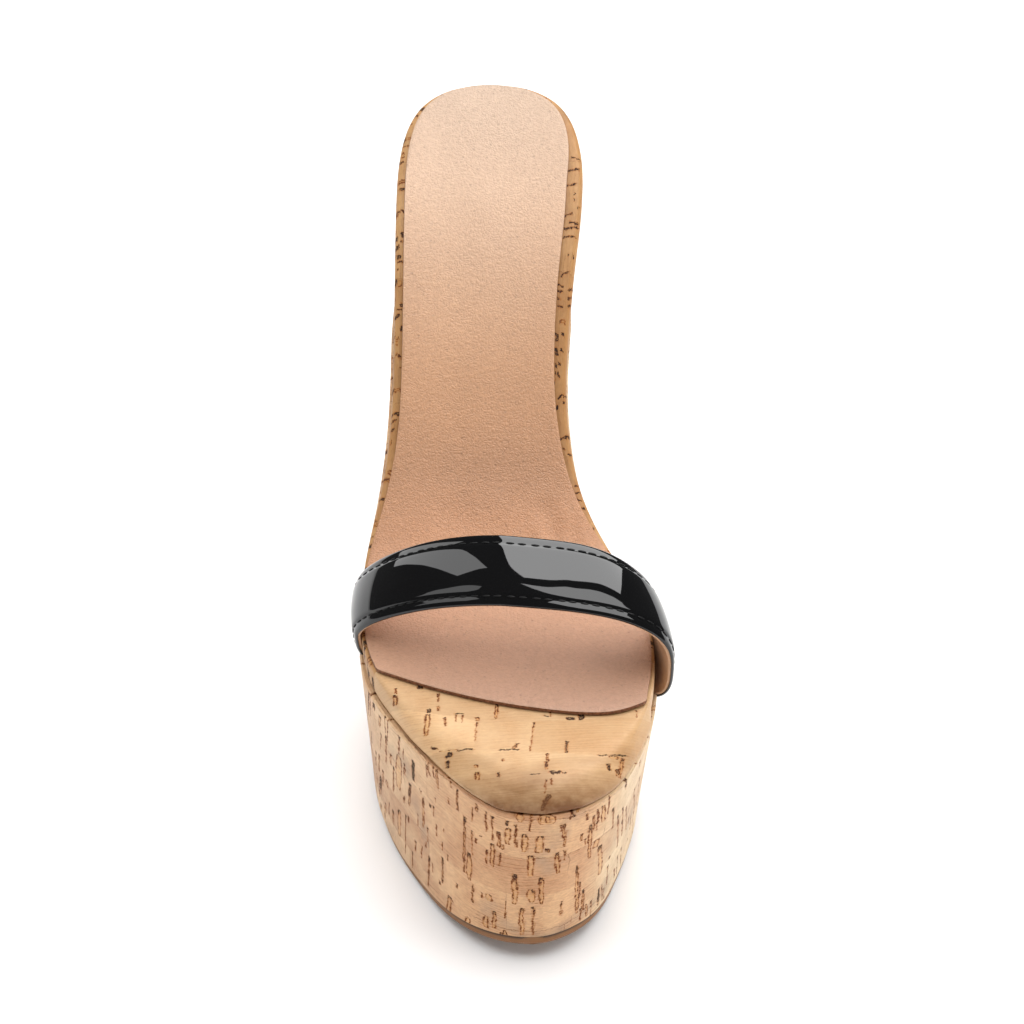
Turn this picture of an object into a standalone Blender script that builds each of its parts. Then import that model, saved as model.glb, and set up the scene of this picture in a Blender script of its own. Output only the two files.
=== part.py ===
"""Platform stiletto sandal for the right foot.

A cork-covered platform, footbed and stiletto heel, a leather insole, a thin outsole and one patent strap.
Metres, +Z up, toe towards -Y, heel towards +Y, +X on the inner side of the foot. The floor is z = 0 and
the origin lies under the middle of the shoe.

Sizes and tables are in millimetres. A station is a distance along the footbed's top from the tip of the toe.
"""

import math

import bmesh
import bpy
import numpy as np

MM = 0.001

# Driving dimensions, in millimetres
GAP = 0.3
BED_LENGTH = 250.0
BED_TOE_HEIGHT = 69.0
BED_THICKNESS = 9.0
BED_LOWER_ROUND = 2.0
INSOLE_THICKNESS = 1.2
INSOLE_OUTER_FRONT = 51.5
INSOLE_INNER_FRONT = 30.5
PLATFORM_PROUD = 0.8
PLATFORM_EDGE = 0.5
PLATFORM_REAR = 176.0
OUTSOLE_FOREPART = 3.4
OUTSOLE_WAIST = 2.6
OUTSOLE_EDGE = 0.7
OUTSOLE_REAR = 197.0
HEEL_SEAT_MIDDLE = 216.0
HEEL_CENTRE_X = 2.6
HEEL_TIP_HEIGHT = 7.0
HEEL_TIP_RADIUS = 5.8
HEEL_TIP_EDGE = 0.6
STRAP_THICKNESS = 2.2
STRAP_BEND = 1.0
STRAP_BEND_FULLNESS = 2.7
STRAP_TAB = 9.0
STRAP_CLEARANCE = 0.6

# How finely each form is cut
STATION_STEPS = 44
BED_COLUMNS = 4
BED_TOP_ANGLES = (90, 60, 30, 0)
BED_LOWER_ANGLES = (0, 45, 90)
PLATFORM_LEVELS = 3
INSOLE_STEPS = 34
INSOLE_COLUMNS = 6
INSOLE_FRONT_ROWS = 7
HEEL_HALF_POINTS = 14
HEEL_RINGS = 15
HEEL_TIP_SIDES = 28
STRAP_TAB_STEPS = 2
STRAP_BEND_STEPS = 7
STRAP_ARCH_STEPS = 26
STRAP_COLUMNS = 3

# Slope of the footbed: share of its length, degrees
BED_SLOPE = (
    (0.00, -5),
    (0.16, -4),
    (0.28, 1),
    (0.36, 14),
    (0.46, 37),
    (0.58, 49),
    (0.70, 46),
    (0.82, 35),
    (1.00, 22),
)

# Outline of the footbed: station, x of the outer edge, x of the inner edge
BED_OUTLINE = (
    (0, 8.5, 8.5),
    (4, -4.5, 20.5),
    (10, -10.5, 28.0),
    (18, -17.0, 32.8),
    (28, -23.8, 37.0),
    (38, -29.5, 40.3),
    (50, -35.2, 42.6),
    (62, -39.0, 43.5),
    (75, -40.0, 42.6),
    (90, -39.5, 37.8),
    (104, -37.2, 31.2),
    (118, -33.6, 26.2),
    (132, -30.9, 23.8),
    (146, -29.2, 23.2),
    (164, -28.1, 24.6),
    (184, -27.2, 27.1),
    (204, -26.3, 30.2),
    (218, -25.3, 31.2),
    (230, -23.0, 29.9),
    (240, -18.5, 25.8),
    (246, -11.9, 18.9),
    (250, 3.0, 3.0),
)

# Rise of the footbed's edges above its middle: station, rise
BED_CUP = ((0, 0.0), (90, 0.0), (140, 1.0), (215, 2.0), (250, 1.2))

# Roll of the footbed's upper edge: station, radius at the outer edge, radius at the inner edge
BED_UPPER_ROUND = (
    (0, 7.0, 7.0),
    (10, 7.0, 6.4),
    (20, 6.6, 3.8),
    (34, 4.0, 1.2),
    (52, 1.2, 1.0),
    (95, 1.0, 1.0),
    (125, 2.4, 2.4),
    (250, 2.6, 2.6),
)

# Cork left showing beside the insole: station, at the outer edge, at the inner edge
INSOLE_INSET = (
    (0, 1.0, 1.0),
    (95, 1.0, 1.2),
    (112, 1.8, 2.2),
    (142, 2.6, 3.6),
    (180, 2.6, 5.0),
    (210, 2.6, 5.2),
    (228, 2.5, 3.4),
    (250, 2.2, 2.2),
)

# Front edge of the insole: share of the way from its outer corner to its inner corner, bow towards the toe
INSOLE_FRONT_BOW = ((0.0, 0.0), (0.2, 4.5), (0.5, 7.5), (0.8, 6.5), (0.93, 3.0), (1.0, 0.0))

# Underside of the outsole: station, y behind the toe, height above the floor
SOLE_LINE = (
    (0, 1.4, 6.4),
    (12, 12.6, 3.8),
    (28, 28.5, 1.2),
    (44, 44.0, 0.0),
    (70, 69.5, 0.0),
    (96, 94.0, 0.0),
    (110, 106.0, 2.6),
    (122, 115.6, 10.5),
    (134, 124.6, 26.0),
    (146, 133.6, 47.0),
    (158, 143.2, 70.0),
    (170, 154.0, 94.0),
)
SOLE_MERGE_STATIONS = (184, 190, 198)

# Outline of the outsole: station, x of the outer edge, x of the inner edge
SOLE_OUTLINE = (
    (0, 6.0, 6.0),
    (4, -6.6, 16.3),
    (10, -13.4, 22.6),
    (18, -19.4, 27.5),
    (28, -24.6, 31.6),
    (42, -30.7, 36.5),
    (56, -35.3, 40.0),
    (70, -37.9, 41.0),
    (86, -38.6, 37.6),
    (100, -36.8, 31.6),
    (116, -32.8, 25.8),
    (132, -29.3, 22.4),
    (150, -26.8, 21.4),
    (170, -25.0, 22.2),
    (186, -24.0, 23.4),
    (198, -23.4, 24.4),
)

# Top of the heel: drop below the footbed, station of the breast, station of the back, half width, squareness
HEEL_SEAT = (
    (GAP, 197.4, 248.6, 26.4, 6.0),
    (5.0, 198.0, 246.6, 26.0, 5.5),
)

# Heel below: height of the middle, y of the breast, y of the back, half width, tilt in degrees, squareness
HEEL_SECTIONS = (
    (129, 180.0, 216.6, 20.5, 24, 3.5),
    (113, 186.6, 213.0, 14.6, 14, 3.0),
    (96, 190.0, 210.0, 10.9, 7, 2.6),
    (75, 191.8, 207.4, 8.6, 3, 2.4),
    (50, 192.5, 205.4, 7.0, 0, 2.2),
    (25, 192.6, 204.2, 6.1, 0, 2.0),
    (HEEL_TIP_HEIGHT + GAP, 192.4, 203.8, 5.7, 0, 2.0),
)

# Front and back edge of the strap: station of the outer end, station of the inner end, rise over the footbed
STRAP_EDGES = (
    (72.0, 50.5, 23.8),
    (92.6, 70.6, 33.6),
)

# Outer and inner side of the strap: bulge past the footbed, fullness of the arch, forward lean for each mm up
STRAP_SIDES = (
    (2.5, 1.7, 0.40),
    (4.7, 3.0, 0.18),
)

# Edge of the outsole: inset, depth below its top
OUTSOLE_TOP_EDGE = ((0.3, 0.0), (0.0, 0.3))

# Finishes: base colour, roughness
CORK = ((0.62, 0.40, 0.22), 0.6)
INSOLE_LEATHER = ((0.66, 0.42, 0.30), 0.65)
OUTSOLE_TAN = ((0.45, 0.25, 0.12), 0.5)
PATENT_BLACK = ((0.006, 0.006, 0.008), 0.06)
TIP_BLACK = ((0.012, 0.012, 0.012), 0.55)


def smooth(at, xs, ys):
    """Monotone cubic through the points, so that equal neighbours stay flat between them."""
    xs, ys, at = np.asarray(xs, float), np.asarray(ys, float), np.asarray(at, float)
    step = np.diff(xs)
    secant = np.diff(ys) / step
    slope = np.concatenate([secant[:1], np.zeros(len(xs) - 2), secant[-1:]])
    for i in range(1, len(xs) - 1):
        if secant[i - 1] * secant[i] > 0:
            before, after = step[i - 1] + 2 * step[i], 2 * step[i - 1] + step[i]
            slope[i] = (before + after) / (before / secant[i - 1] + after / secant[i])
    i = np.clip(np.searchsorted(xs, at) - 1, 0, len(step) - 1)
    t = np.clip((at - xs[i]) / step[i], 0, 1)
    ends = ys[i] * (1 + 2 * t) * (1 - t) ** 2 + ys[i + 1] * t**2 * (3 - 2 * t)
    return ends + step[i] * t * (1 - t) * (slope[i] * (1 - t) - slope[i + 1] * t)


def read(table, at, column=1):
    """One column of a table at a value of its first column."""
    rows = list(zip(*table))
    return smooth(at, rows[0], rows[column])


class Line:
    """A curve in the side view, with its (y, z) and slope at each station."""

    def __init__(self, stations, ys, zs):
        self.stations, self.ys, self.zs = stations, ys, zs
        self.slopes = np.arctan2(np.gradient(zs), np.gradient(ys))

    def point(self, x, station, rise=0.0):
        """The point at x and station, raised square to the line."""
        y, z, slope = (np.interp(station, self.stations, v) for v in (self.ys, self.zs, self.slopes))
        return np.array([x, y - rise * math.sin(slope), z + rise * math.cos(slope)])


def make_bed_line():
    """Top of the footbed along its middle, found by walking along its slopes."""
    stations = np.linspace(0, BED_LENGTH, 501)
    slopes = np.radians(read(BED_SLOPE, stations / BED_LENGTH))
    steps = np.diff(stations)
    middle = (slopes[1:] + slopes[:-1]) / 2
    ys = np.concatenate([[0], np.cumsum(np.cos(middle) * steps)])
    zs = BED_TOE_HEIGHT + np.concatenate([[0], np.cumsum(np.sin(middle) * steps)])
    return Line(stations, ys, zs)


def make_sole_line():
    """Underside of the outsole: flat under the ball, up the platform's rear, then along the arch."""
    below = BED_THICKNESS + GAP + OUTSOLE_WAIST
    merged = [(s, *BED_LINE.point(0, s, -below)[1:]) for s in SOLE_MERGE_STATIONS]
    rows = list(SOLE_LINE) + merged
    stations = np.linspace(0, SOLE_MERGE_STATIONS[-1], 397)
    return Line(stations, read(rows, stations, 1), read(rows, stations, 2))


BED_LINE = make_bed_line()
SOLE_UNDERSIDE = make_sole_line()


def angle_of(station):
    """Stations are spaced by this angle, which makes the ends of an outline round."""
    return np.arccos(1 - 2 * np.asarray(station, float) / BED_LENGTH)


def stations_between(front, rear, steps):
    angles = np.linspace(angle_of(front), angle_of(rear), steps + 1)
    return list(BED_LENGTH * (1 - np.cos(angles)) / 2)


def stations_to(rear):
    """Stations from the toe that all the layers share, so that their facets lie parallel."""
    shared = stations_between(0, BED_LENGTH, STATION_STEPS)
    return [s for s in shared if s < rear - 2] + [rear]


def edges_at(outline, station):
    """x of an outline's outer and inner edge at a station."""
    rows = [(angle_of(s), outer, inner) for s, outer, inner in outline]
    return [float(read(rows, angle_of(station), side)) for side in (1, 2)]


def outline_ring(outline, outer_stations, inner_stations):
    """Loop of (x, station): back along the outer edge, then forward along the inner edge."""
    outer = [(edges_at(outline, s)[0], s) for s in outer_stations]
    inner = [(edges_at(outline, s)[1], s) for s in reversed(inner_stations)]
    return np.array(outer + [p for p in inner if p not in (outer[0], outer[-1])])


def inset_ring(ring, inset):
    """The loop moved inwards, by one distance or by one for each point."""
    along = np.roll(ring, -1, axis=0) - np.roll(ring, 1, axis=0)
    inwards = np.stack([along[:, 1], -along[:, 0]], axis=1)
    inwards /= np.linalg.norm(inwards, axis=1)[:, None]
    return ring + inwards * np.reshape(inset, (-1, 1))


def bed_top(x, station, rise=0.0):
    """Top of the footbed, cupped towards its edges."""
    outer, inner = edges_at(BED_OUTLINE, station)
    across = (x - (outer + inner) / 2) / max((inner - outer) / 2, 1.0)
    return BED_LINE.point(x, station, rise + read(BED_CUP, station) * min(across**2, 1.0))


def bed_underside(x, station, drop=0.0):
    return BED_LINE.point(x, station, -BED_THICKNESS - drop)


def outsole_thickness(station):
    return smooth(station, (90, 150), (OUTSOLE_FOREPART, OUTSOLE_WAIST))


def add_points(form, points):
    return [form.verts.new(np.asarray(p) * MM) for p in points]


def add_face(form, corners):
    corners = list(dict.fromkeys(corners))
    if len(corners) > 2:
        form.faces.new(corners)


def join_rows(form, first, second, closed=False):
    """Faces between two rows of points."""
    for i in range(len(first) if closed else len(first) - 1):
        j = (i + 1) % len(first)
        add_face(form, [first[i], first[j], second[j], second[i]])


def close_ring(form, ring, columns=1, place=None):
    """Fills a loop with rows that run from its outer edge to its inner edge."""
    rows = []
    for i in range(len(ring) // 2 + 1):
        outer, inner = ring[i], ring[-i]
        if outer is inner:
            rows.append([outer] * (columns + 1))
        else:
            between = [place(i, k / columns) for k in range(1, columns)]
            rows.append([outer, *add_points(form, between), inner])
    for first, second in zip(rows, rows[1:]):
        join_rows(form, first, second)


def add_material(data, finish):
    colour, roughness = finish
    made = bpy.data.materials.new(data.name)
    made.use_nodes = True
    shader = made.node_tree.nodes["Principled BSDF"]
    shader.inputs["Base Color"].default_value = (*colour, 1.0)
    shader.inputs["Roughness"].default_value = roughness
    shader.inputs["Metallic"].default_value = 0.0
    data.materials.append(made)


def add_object(name, form, finish, collection, parent):
    data = bpy.data.meshes.new(name)
    form.to_mesh(data)
    form.free()
    data.shade_smooth()
    data.set_sharp_from_angle(angle=math.radians(35))
    if finish:
        add_material(data, finish)
    made = bpy.data.objects.new(name, data)
    made.parent = parent
    collection.objects.link(made)
    return made


def add_loft(name, rings, caps, finish, collection, parent):
    """A solid through closed rings of points, with (columns, place) for the cap at each end."""
    form = bmesh.new()
    rows = [add_points(form, ring) for ring in rings]
    for first, second in zip(rows, rows[1:]):
        join_rows(form, first, second, closed=True)
    close_ring(form, rows[0], *caps[0])
    close_ring(form, rows[-1], *caps[1])
    bmesh.ops.recalc_face_normals(form, faces=form.faces)
    return add_object(name, form, finish, collection, parent)


def add_sheet(name, rows, thickness, offset, finish, collection, parent):
    """An open surface through rows of points, made solid by a wall of even thickness."""
    form = bmesh.new()
    made_rows = [add_points(form, row) for row in rows]
    for first, second in zip(made_rows, made_rows[1:]):
        join_rows(form, first, second)
    bmesh.ops.remove_doubles(form, verts=form.verts, dist=0.001 * MM)
    made = add_object(name, form, finish, collection, parent)
    wall = made.modifiers.new("Wall", "SOLIDIFY")
    wall.thickness = thickness * MM
    wall.offset = offset
    wall.use_even_offset = True
    return made


def add_footbed(collection, parent):
    """Cork-wrapped board with a rolled edge, broadest at the toe."""
    stations = stations_between(0, BED_LENGTH, STATION_STEPS)
    edge = outline_ring(BED_OUTLINE, stations, stations)
    sides = [1] * len(stations) + [2] * (len(edge) - len(stations))
    top_round = np.array([read(BED_UPPER_ROUND, s, side) for (_, s), side in zip(edge, sides)])
    rings = []
    for angle in np.radians(BED_TOP_ANGLES):
        flat = inset_ring(edge, top_round * (1 - math.cos(angle)))
        drop = top_round * (1 - math.sin(angle))
        rings.append([bed_top(x, s, -d) for (x, s), d in zip(flat, drop)])
    for angle in np.radians(BED_LOWER_ANGLES):
        flat = inset_ring(edge, BED_LOWER_ROUND * (1 - math.cos(angle)))
        lift = BED_LOWER_ROUND * (1 - math.sin(angle))
        rings.append([bed_underside(x, s, -lift) for x, s in flat])
    inside = inset_ring(edge, top_round)

    def place(i, share):
        return bed_top(*(inside[i] + (inside[-i] - inside[i]) * share))

    return add_loft("footbed", rings, [(BED_COLUMNS, place), (1,)], CORK, collection, parent)


def add_platform(collection, parent):
    """Cork block under the footbed. Its wall leans in towards the outsole."""
    stations = stations_to(PLATFORM_REAR)
    top = inset_ring(outline_ring(BED_OUTLINE, stations, stations), -PLATFORM_PROUD)
    bottom = outline_ring(SOLE_OUTLINE, stations, stations)
    seat = [bed_underside(x, s, GAP) for x, s in inset_ring(top, PLATFORM_EDGE)]
    upper = np.array([bed_underside(x, s, GAP + PLATFORM_EDGE) for x, s in top])
    lower = np.array([SOLE_UNDERSIDE.point(x, s, outsole_thickness(s) + GAP) for x, s in bottom])
    walls = [upper + (lower - upper) * share for share in np.linspace(0, 1, PLATFORM_LEVELS + 1)]
    return add_loft("platform", [seat, *walls], [(1,), (1,)], CORK, collection, parent)


def add_outsole(collection, parent):
    """Thin sole with softened edges, from the toe to the heel's breast."""
    stations = stations_to(OUTSOLE_REAR)
    edge = outline_ring(SOLE_OUTLINE, stations, stations)
    rings = []
    for inset, depth in OUTSOLE_TOP_EDGE:
        flat = inset_ring(edge, inset)
        rings.append([SOLE_UNDERSIDE.point(x, s, outsole_thickness(s) - depth) for x, s in flat])
    for inset, rise in ((0, OUTSOLE_EDGE), (OUTSOLE_EDGE, 0)):
        rings.append([SOLE_UNDERSIDE.point(x, s, rise) for x, s in inset_ring(edge, inset)])
    return add_loft("outsole", rings, [(1,), (1,)], OUTSOLE_TAN, collection, parent)


def add_insole(collection, parent):
    """Leather sock from a bowed front edge to the back of the heel."""
    outer = stations_between(INSOLE_OUTER_FRONT, BED_LENGTH, INSOLE_STEPS)
    inner = stations_between(INSOLE_INNER_FRONT, BED_LENGTH, INSOLE_STEPS)
    ring = outline_ring(BED_OUTLINE, outer, inner)
    sides = [1] * len(outer) + [2] * (len(ring) - len(outer))
    ring = inset_ring(ring, [read(INSOLE_INSET, s, side) for (_, s), side in zip(ring, sides)])
    rows = []
    for i in range(INSOLE_STEPS + 1):
        first, last = ring[i], ring[len(ring) - 1 - i]
        bow = max(1 - i / INSOLE_FRONT_ROWS, 0) ** 2
        row = []
        for share in np.linspace(0, 1, INSOLE_COLUMNS + 1):
            x, station = first + (last - first) * share
            row.append(bed_top(x, station - bow * read(INSOLE_FRONT_BOW, share), GAP))
        rows.append(row)
    return add_sheet("insole", rows, INSOLE_THICKNESS, 1, INSOLE_LEATHER, collection, parent)


def strap_bend(bulge, tab):
    """One end of the strap, as (distance in from the footbed's edge, height over it): tab, then bend."""
    drop = BED_THICKNESS + STRAP_CLEARANCE + STRAP_THICKNESS / 2
    points = [(reach, -drop) for reach in np.linspace(tab, STRAP_BEND, STRAP_TAB_STEPS + 1)[:-1]]
    power = 2 / STRAP_BEND_FULLNESS
    for angle in np.linspace(0, math.pi / 2, STRAP_BEND_STEPS + 1):
        out = (bulge + STRAP_BEND) * math.sin(angle) ** power
        points.append((STRAP_BEND - out, -drop * max(math.cos(angle), 0) ** power))
    return points


def strap_line(share, tab=STRAP_TAB):
    """Middle of the strap's wall at a share of its width, from the outer tab to the inner tab."""
    front, back = np.array(STRAP_EDGES)
    outer_station, inner_station, rise = front + (back - front) * share
    outer = BED_LINE.point(edges_at(BED_OUTLINE, outer_station)[0], outer_station)
    inner = BED_LINE.point(edges_at(BED_OUTLINE, inner_station)[1], inner_station)
    span = float(np.linalg.norm((inner - outer)[:2]))
    (outer_bulge, outer_fullness, outer_lean), (inner_bulge, inner_fullness, inner_lean) = STRAP_SIDES
    local = strap_bend(outer_bulge, tab)
    for angle in np.linspace(0, math.pi, STRAP_ARCH_STEPS + 1)[1:-1]:
        on_outer = angle < math.pi / 2
        power = 2 / (outer_fullness if on_outer else inner_fullness)
        reach = abs(math.cos(angle)) ** power * (span / 2 + (outer_bulge if on_outer else inner_bulge))
        local.append((span / 2 - math.copysign(reach, math.cos(angle)), rise * math.sin(angle) ** power))
    local += [(span - reach, height) for reach, height in reversed(strap_bend(inner_bulge, tab))]
    points = []
    for reach, height in local:
        across = reach / span
        lean = np.interp(across, (0, 1), (outer_lean, inner_lean)) * (height - local[0][1])
        points.append(outer + (inner - outer) * across + np.array([0, -lean, height]))
    return points


def add_strap(collection, parent):
    """One band over the foot, its ends tucked under the footbed."""
    rows = [strap_line(share) for share in np.linspace(0, 1, STRAP_COLUMNS + 1)]
    return add_sheet("strap", rows, STRAP_THICKNESS, 0, PATENT_BLACK, collection, parent)


def cut_strap_slots(platform, collection, parent):
    """Recesses in the platform's top for the strap's tabs."""
    front, back = np.array(STRAP_EDGES)
    margin = STRAP_CLEARANCE / (back - front)[0]
    shares = np.linspace(-margin, 1 + margin, STRAP_COLUMNS + 1)
    rows = [strap_line(share, STRAP_TAB + STRAP_CLEARANCE) for share in shares]
    thickness = STRAP_THICKNESS + 2 * STRAP_CLEARANCE
    cutter = add_sheet("strap_slot_cutter", rows, thickness, 0, None, collection, parent)
    cutter.hide_render = True
    cutter.display_type = "WIRE"
    cut = platform.modifiers.new("Strap slots", "BOOLEAN")
    cut.operation = "DIFFERENCE"
    cut.solver = "EXACT"
    cut.object = cutter


def heel_ring(breast, back, half_width, squareness):
    """Half round at the back and squarer at the breast: (x, distance behind the middle) round the section."""
    points = []
    for angle in np.linspace(-math.pi / 2, 1.5 * math.pi, 2 * HEEL_HALF_POINTS + 1)[:-1]:
        power = 2 / squareness if math.sin(angle) < 0 else 1.0
        across = math.copysign(abs(math.cos(angle)) ** power, -math.cos(angle))
        along = abs(math.sin(angle)) ** power * (breast if math.sin(angle) < 0 else back)
        points.append((HEEL_CENTRE_X + half_width * across, along))
    return points


def add_heel(collection, parent):
    """Stiletto under the heel seat, drawn in to a slim stem."""
    rings = []
    for drop, breast, back, half_width, squareness in HEEL_SEAT:
        ring = heel_ring(breast - HEEL_SEAT_MIDDLE, back - HEEL_SEAT_MIDDLE, half_width, squareness)
        rings.append([bed_underside(x, HEEL_SEAT_MIDDLE + along, drop) for x, along in ring])
    for height, breast, back, half_width, tilt, squareness in HEEL_SECTIONS:
        half_length = (back - breast) / 2
        ring = heel_ring(-half_length, half_length, half_width, squareness)
        climb = math.tan(math.radians(tilt))
        rings.append([(x, (breast + back) / 2 + along, height + along * climb) for x, along in ring])
    rings = np.array(rings)
    depths = -rings[:, :, 2].mean(axis=1)
    fine = np.linspace(depths[0], depths[-1], HEEL_RINGS)
    fine = np.sort(np.concatenate([fine, depths[1:2]]))
    lofted = np.zeros((len(fine), *rings.shape[1:]))
    for point in range(rings.shape[1]):
        for axis in range(3):
            lofted[:, point, axis] = smooth(fine, depths, rings[:, point, axis])
    return add_loft("heel", lofted, [(1,), (1,)], CORK, collection, parent)


def add_heel_tip(collection, parent):
    """Round top piece that meets the floor."""
    form = bmesh.new()
    radius = HEEL_TIP_RADIUS * MM
    height = HEEL_TIP_HEIGHT * MM
    bmesh.ops.create_cone(
        form, cap_ends=True, segments=HEEL_TIP_SIDES, radius1=radius, radius2=radius, depth=height
    )
    made = add_object("heel_tip", form, TIP_BLACK, collection, parent)
    _, breast, back, *_ = HEEL_SECTIONS[-1]
    made.location = (HEEL_CENTRE_X * MM, (breast + back) / 2 * MM, height / 2)
    rounding = made.modifiers.new("Edge", "BEVEL")
    rounding.width = HEEL_TIP_EDGE * MM
    rounding.segments = 2
    return made


def centre_over_origin(parent, parts):
    """Moves the parent so that the middle of the parts' box is above the origin."""
    bpy.context.view_layer.update()
    graph = bpy.context.evaluated_depsgraph_get()
    corners = []
    for part in parts:
        seen = part.evaluated_get(graph)
        corners += [seen.matrix_world @ vertex.co for vertex in seen.data.vertices]
    corners = np.array(corners)
    middle = (corners.min(axis=0) + corners.max(axis=0)) / 2
    parent.location = (-middle[0], -middle[1], 0)


def new_collection(name):
    made = bpy.data.collections.new(name)
    bpy.context.scene.collection.children.link(made)
    return made


def main():
    for old in list(bpy.data.objects):
        bpy.data.objects.remove(old, do_unlink=True)
    shoe = new_collection("platform_stiletto_sandal")
    cutters = new_collection("cutters")
    middle = bpy.data.objects.new("middle_of_shoe", None)
    shoe.objects.link(middle)
    platform = add_platform(shoe, middle)
    cut_strap_slots(platform, cutters, middle)
    makers = (add_outsole, add_footbed, add_insole, add_strap, add_heel, add_heel_tip)
    parts = [platform] + [make(shoe, middle) for make in makers]
    centre_over_origin(middle, parts)


main()
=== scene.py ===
import math

import bmesh
import bpy
import numpy as np
from mathutils import Matrix, Vector


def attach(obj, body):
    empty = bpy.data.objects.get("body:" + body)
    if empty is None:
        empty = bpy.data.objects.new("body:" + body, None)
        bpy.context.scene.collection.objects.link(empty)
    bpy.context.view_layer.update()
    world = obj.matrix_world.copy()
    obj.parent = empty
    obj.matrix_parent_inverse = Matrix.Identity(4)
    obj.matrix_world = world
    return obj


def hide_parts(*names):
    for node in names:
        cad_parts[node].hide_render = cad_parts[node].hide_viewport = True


mm = 0.001

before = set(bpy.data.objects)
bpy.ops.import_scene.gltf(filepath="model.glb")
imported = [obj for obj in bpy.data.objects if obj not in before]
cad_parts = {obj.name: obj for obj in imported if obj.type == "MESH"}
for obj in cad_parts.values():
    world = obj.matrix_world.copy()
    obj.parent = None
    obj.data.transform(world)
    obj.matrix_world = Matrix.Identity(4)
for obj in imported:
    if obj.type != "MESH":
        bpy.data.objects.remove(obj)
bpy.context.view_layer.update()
print("stage: frame loaded,", len(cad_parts), "nodes")


def linear(hexColour):
    channels = [int(hexColour[i:i + 2], 16) / 255 for i in (1, 3, 5)]
    return [c / 12.92 if c <= 0.04045 else ((c + 0.055) / 1.055) ** 2.4 for c in channels] + [1.0]


def feed(node, links):
    # links maps an input to another node's output or to a value; a list fills the inputs in their order
    for socket, value in links.items() if isinstance(links, dict) else enumerate(links):
        if isinstance(value, bpy.types.NodeSocket):
            node.id_data.links.new(value, node.inputs[socket])
        else:
            node.inputs[socket].default_value = value


def addNode(tree, kind, links=(), out=0, **settings):
    # kind is the node's type, with its operation or data type after a dot; a MapRange is fed with a value,
    # the two ends of its range and the two that these become
    kind, _, mode = kind.partition(".")
    node = tree.nodes.new(kind if kind.startswith("Node") else "ShaderNode" + kind)
    if mode:
        settings["data_type" if kind == "Mix" else "operation"] = mode
    for name, value in settings.items():
        setattr(node, name, value)
    feed(node, links)
    return node if out is None else node.outputs[out]


def newMaterial(name):
    material = bpy.data.materials.new(name)
    material.use_nodes = True
    return material, material.node_tree, material.node_tree.nodes["Principled BSDF"]


def grainyMaterial(name, look):
    # two tones mixed by a noise of some size in mm, which also gives the relief: its strength and depth in mm
    material, tree, shader = newMaterial(name)
    grain = addNode(tree, "TexNoise", {"Vector": addNode(tree, "TexCoord", out="Object"), "Detail": look["detail"],
                                       "Scale": 1 / (look["size"] * mm), "Roughness": look.get("fray", 0.5)})
    share = addNode(tree, "MapRange", [grain, *look["spread"]]) if "spread" in look else grain
    pale, deep = (linear(tone) for tone in look["tones"])
    feed(shader, {"Base Color": addNode(tree, "Mix.RGBA", {0: share, 6: pale, 7: deep}, 2), **look["surface"]})
    if "relief" in look:
        strength, depth = look["relief"]
        feed(shader, {"Normal": addNode(tree, "Bump", {"Strength": strength, "Distance": depth * mm, "Height": grain})})
    return material, tree, shader


def newObject(name, data):
    made = bpy.data.objects.new(name, data)
    bpy.context.scene.collection.objects.link(made)
    return made


def meshPiece(name, verts, faces):
    mesh = bpy.data.meshes.new(name)
    mesh.from_pydata(verts, [], faces)
    return newObject(name, mesh)


def selectOnly(piece):
    bpy.ops.object.select_all(action="DESELECT")
    piece.select_set(True)
    bpy.context.view_layer.objects.active = piece


def copyOf(nodeName, pieceName):
    # a CAD node's mesh with its corners merged and its triangles paired into quads
    piece = newObject(pieceName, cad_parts[nodeName].data.copy())
    piece.data.materials.clear()
    selectOnly(piece)
    if piece.data.has_custom_normals:
        bpy.ops.mesh.customdata_custom_splitnormals_clear()
    bpy.ops.object.mode_set(mode="EDIT")
    bpy.ops.mesh.select_all(action="SELECT")
    bpy.ops.mesh.remove_doubles(threshold=0.001 * mm)
    bpy.ops.mesh.tris_convert_to_quads(face_threshold=math.radians(50), shape_threshold=math.radians(60))
    bpy.ops.object.mode_set(mode="OBJECT")
    return piece


def smoothCopy(nodeName, pieceName, settings):
    # a subdivided copy that keeps the edges sharper than edgeAngle
    piece = copyOf(nodeName, pieceName)
    form = bmesh.new()
    form.from_mesh(piece.data)
    crease = form.edges.layers.float.get("crease_edge") or form.edges.layers.float.new("crease_edge")
    for edge in form.edges:
        if edge.is_manifold and edge.calc_face_angle() > math.radians(settings["edgeAngle"]):
            edge[crease] = settings["crease"]
    form.to_mesh(piece.data)
    form.free()
    modifier = piece.modifiers.new("rounding", "SUBSURF")
    modifier.levels = modifier.render_levels = settings["levels"]
    bpy.ops.object.modifier_apply(modifier=modifier.name)
    return piece


def shadeSmooth(piece, angle):
    selectOnly(piece)
    bpy.ops.object.shade_smooth_by_angle(angle=math.radians(angle))


def pointsOf(piece, what="co"):
    # the place of each point, or its normal
    values = np.empty(len(piece.data.vertices) * 3)
    piece.data.vertices.foreach_get(what, values)
    return values.reshape(-1, 3)


def movePoints(piece, points):
    piece.data.vertices.foreach_set("co", np.asarray(points, float).ravel())
    piece.data.update()


def setUv(piece, perCorner):
    # one (u, v) in metres for each corner of each face
    layer = piece.data.uv_layers.get("grain") or piece.data.uv_layers.new(name="grain")
    layer.data.foreach_set("uv", np.asarray(perCorner, float).ravel())


def wear(piece, node, slot, *materials):
    for material in materials:
        piece.data.materials.append(material)
    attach(piece, "root")
    if node:
        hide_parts(node)


def ramp(values, start, length):
    # rises from 0 at start to 1, over a length that may be negative
    return np.clip((values - start) / length, 0, 1)


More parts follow.
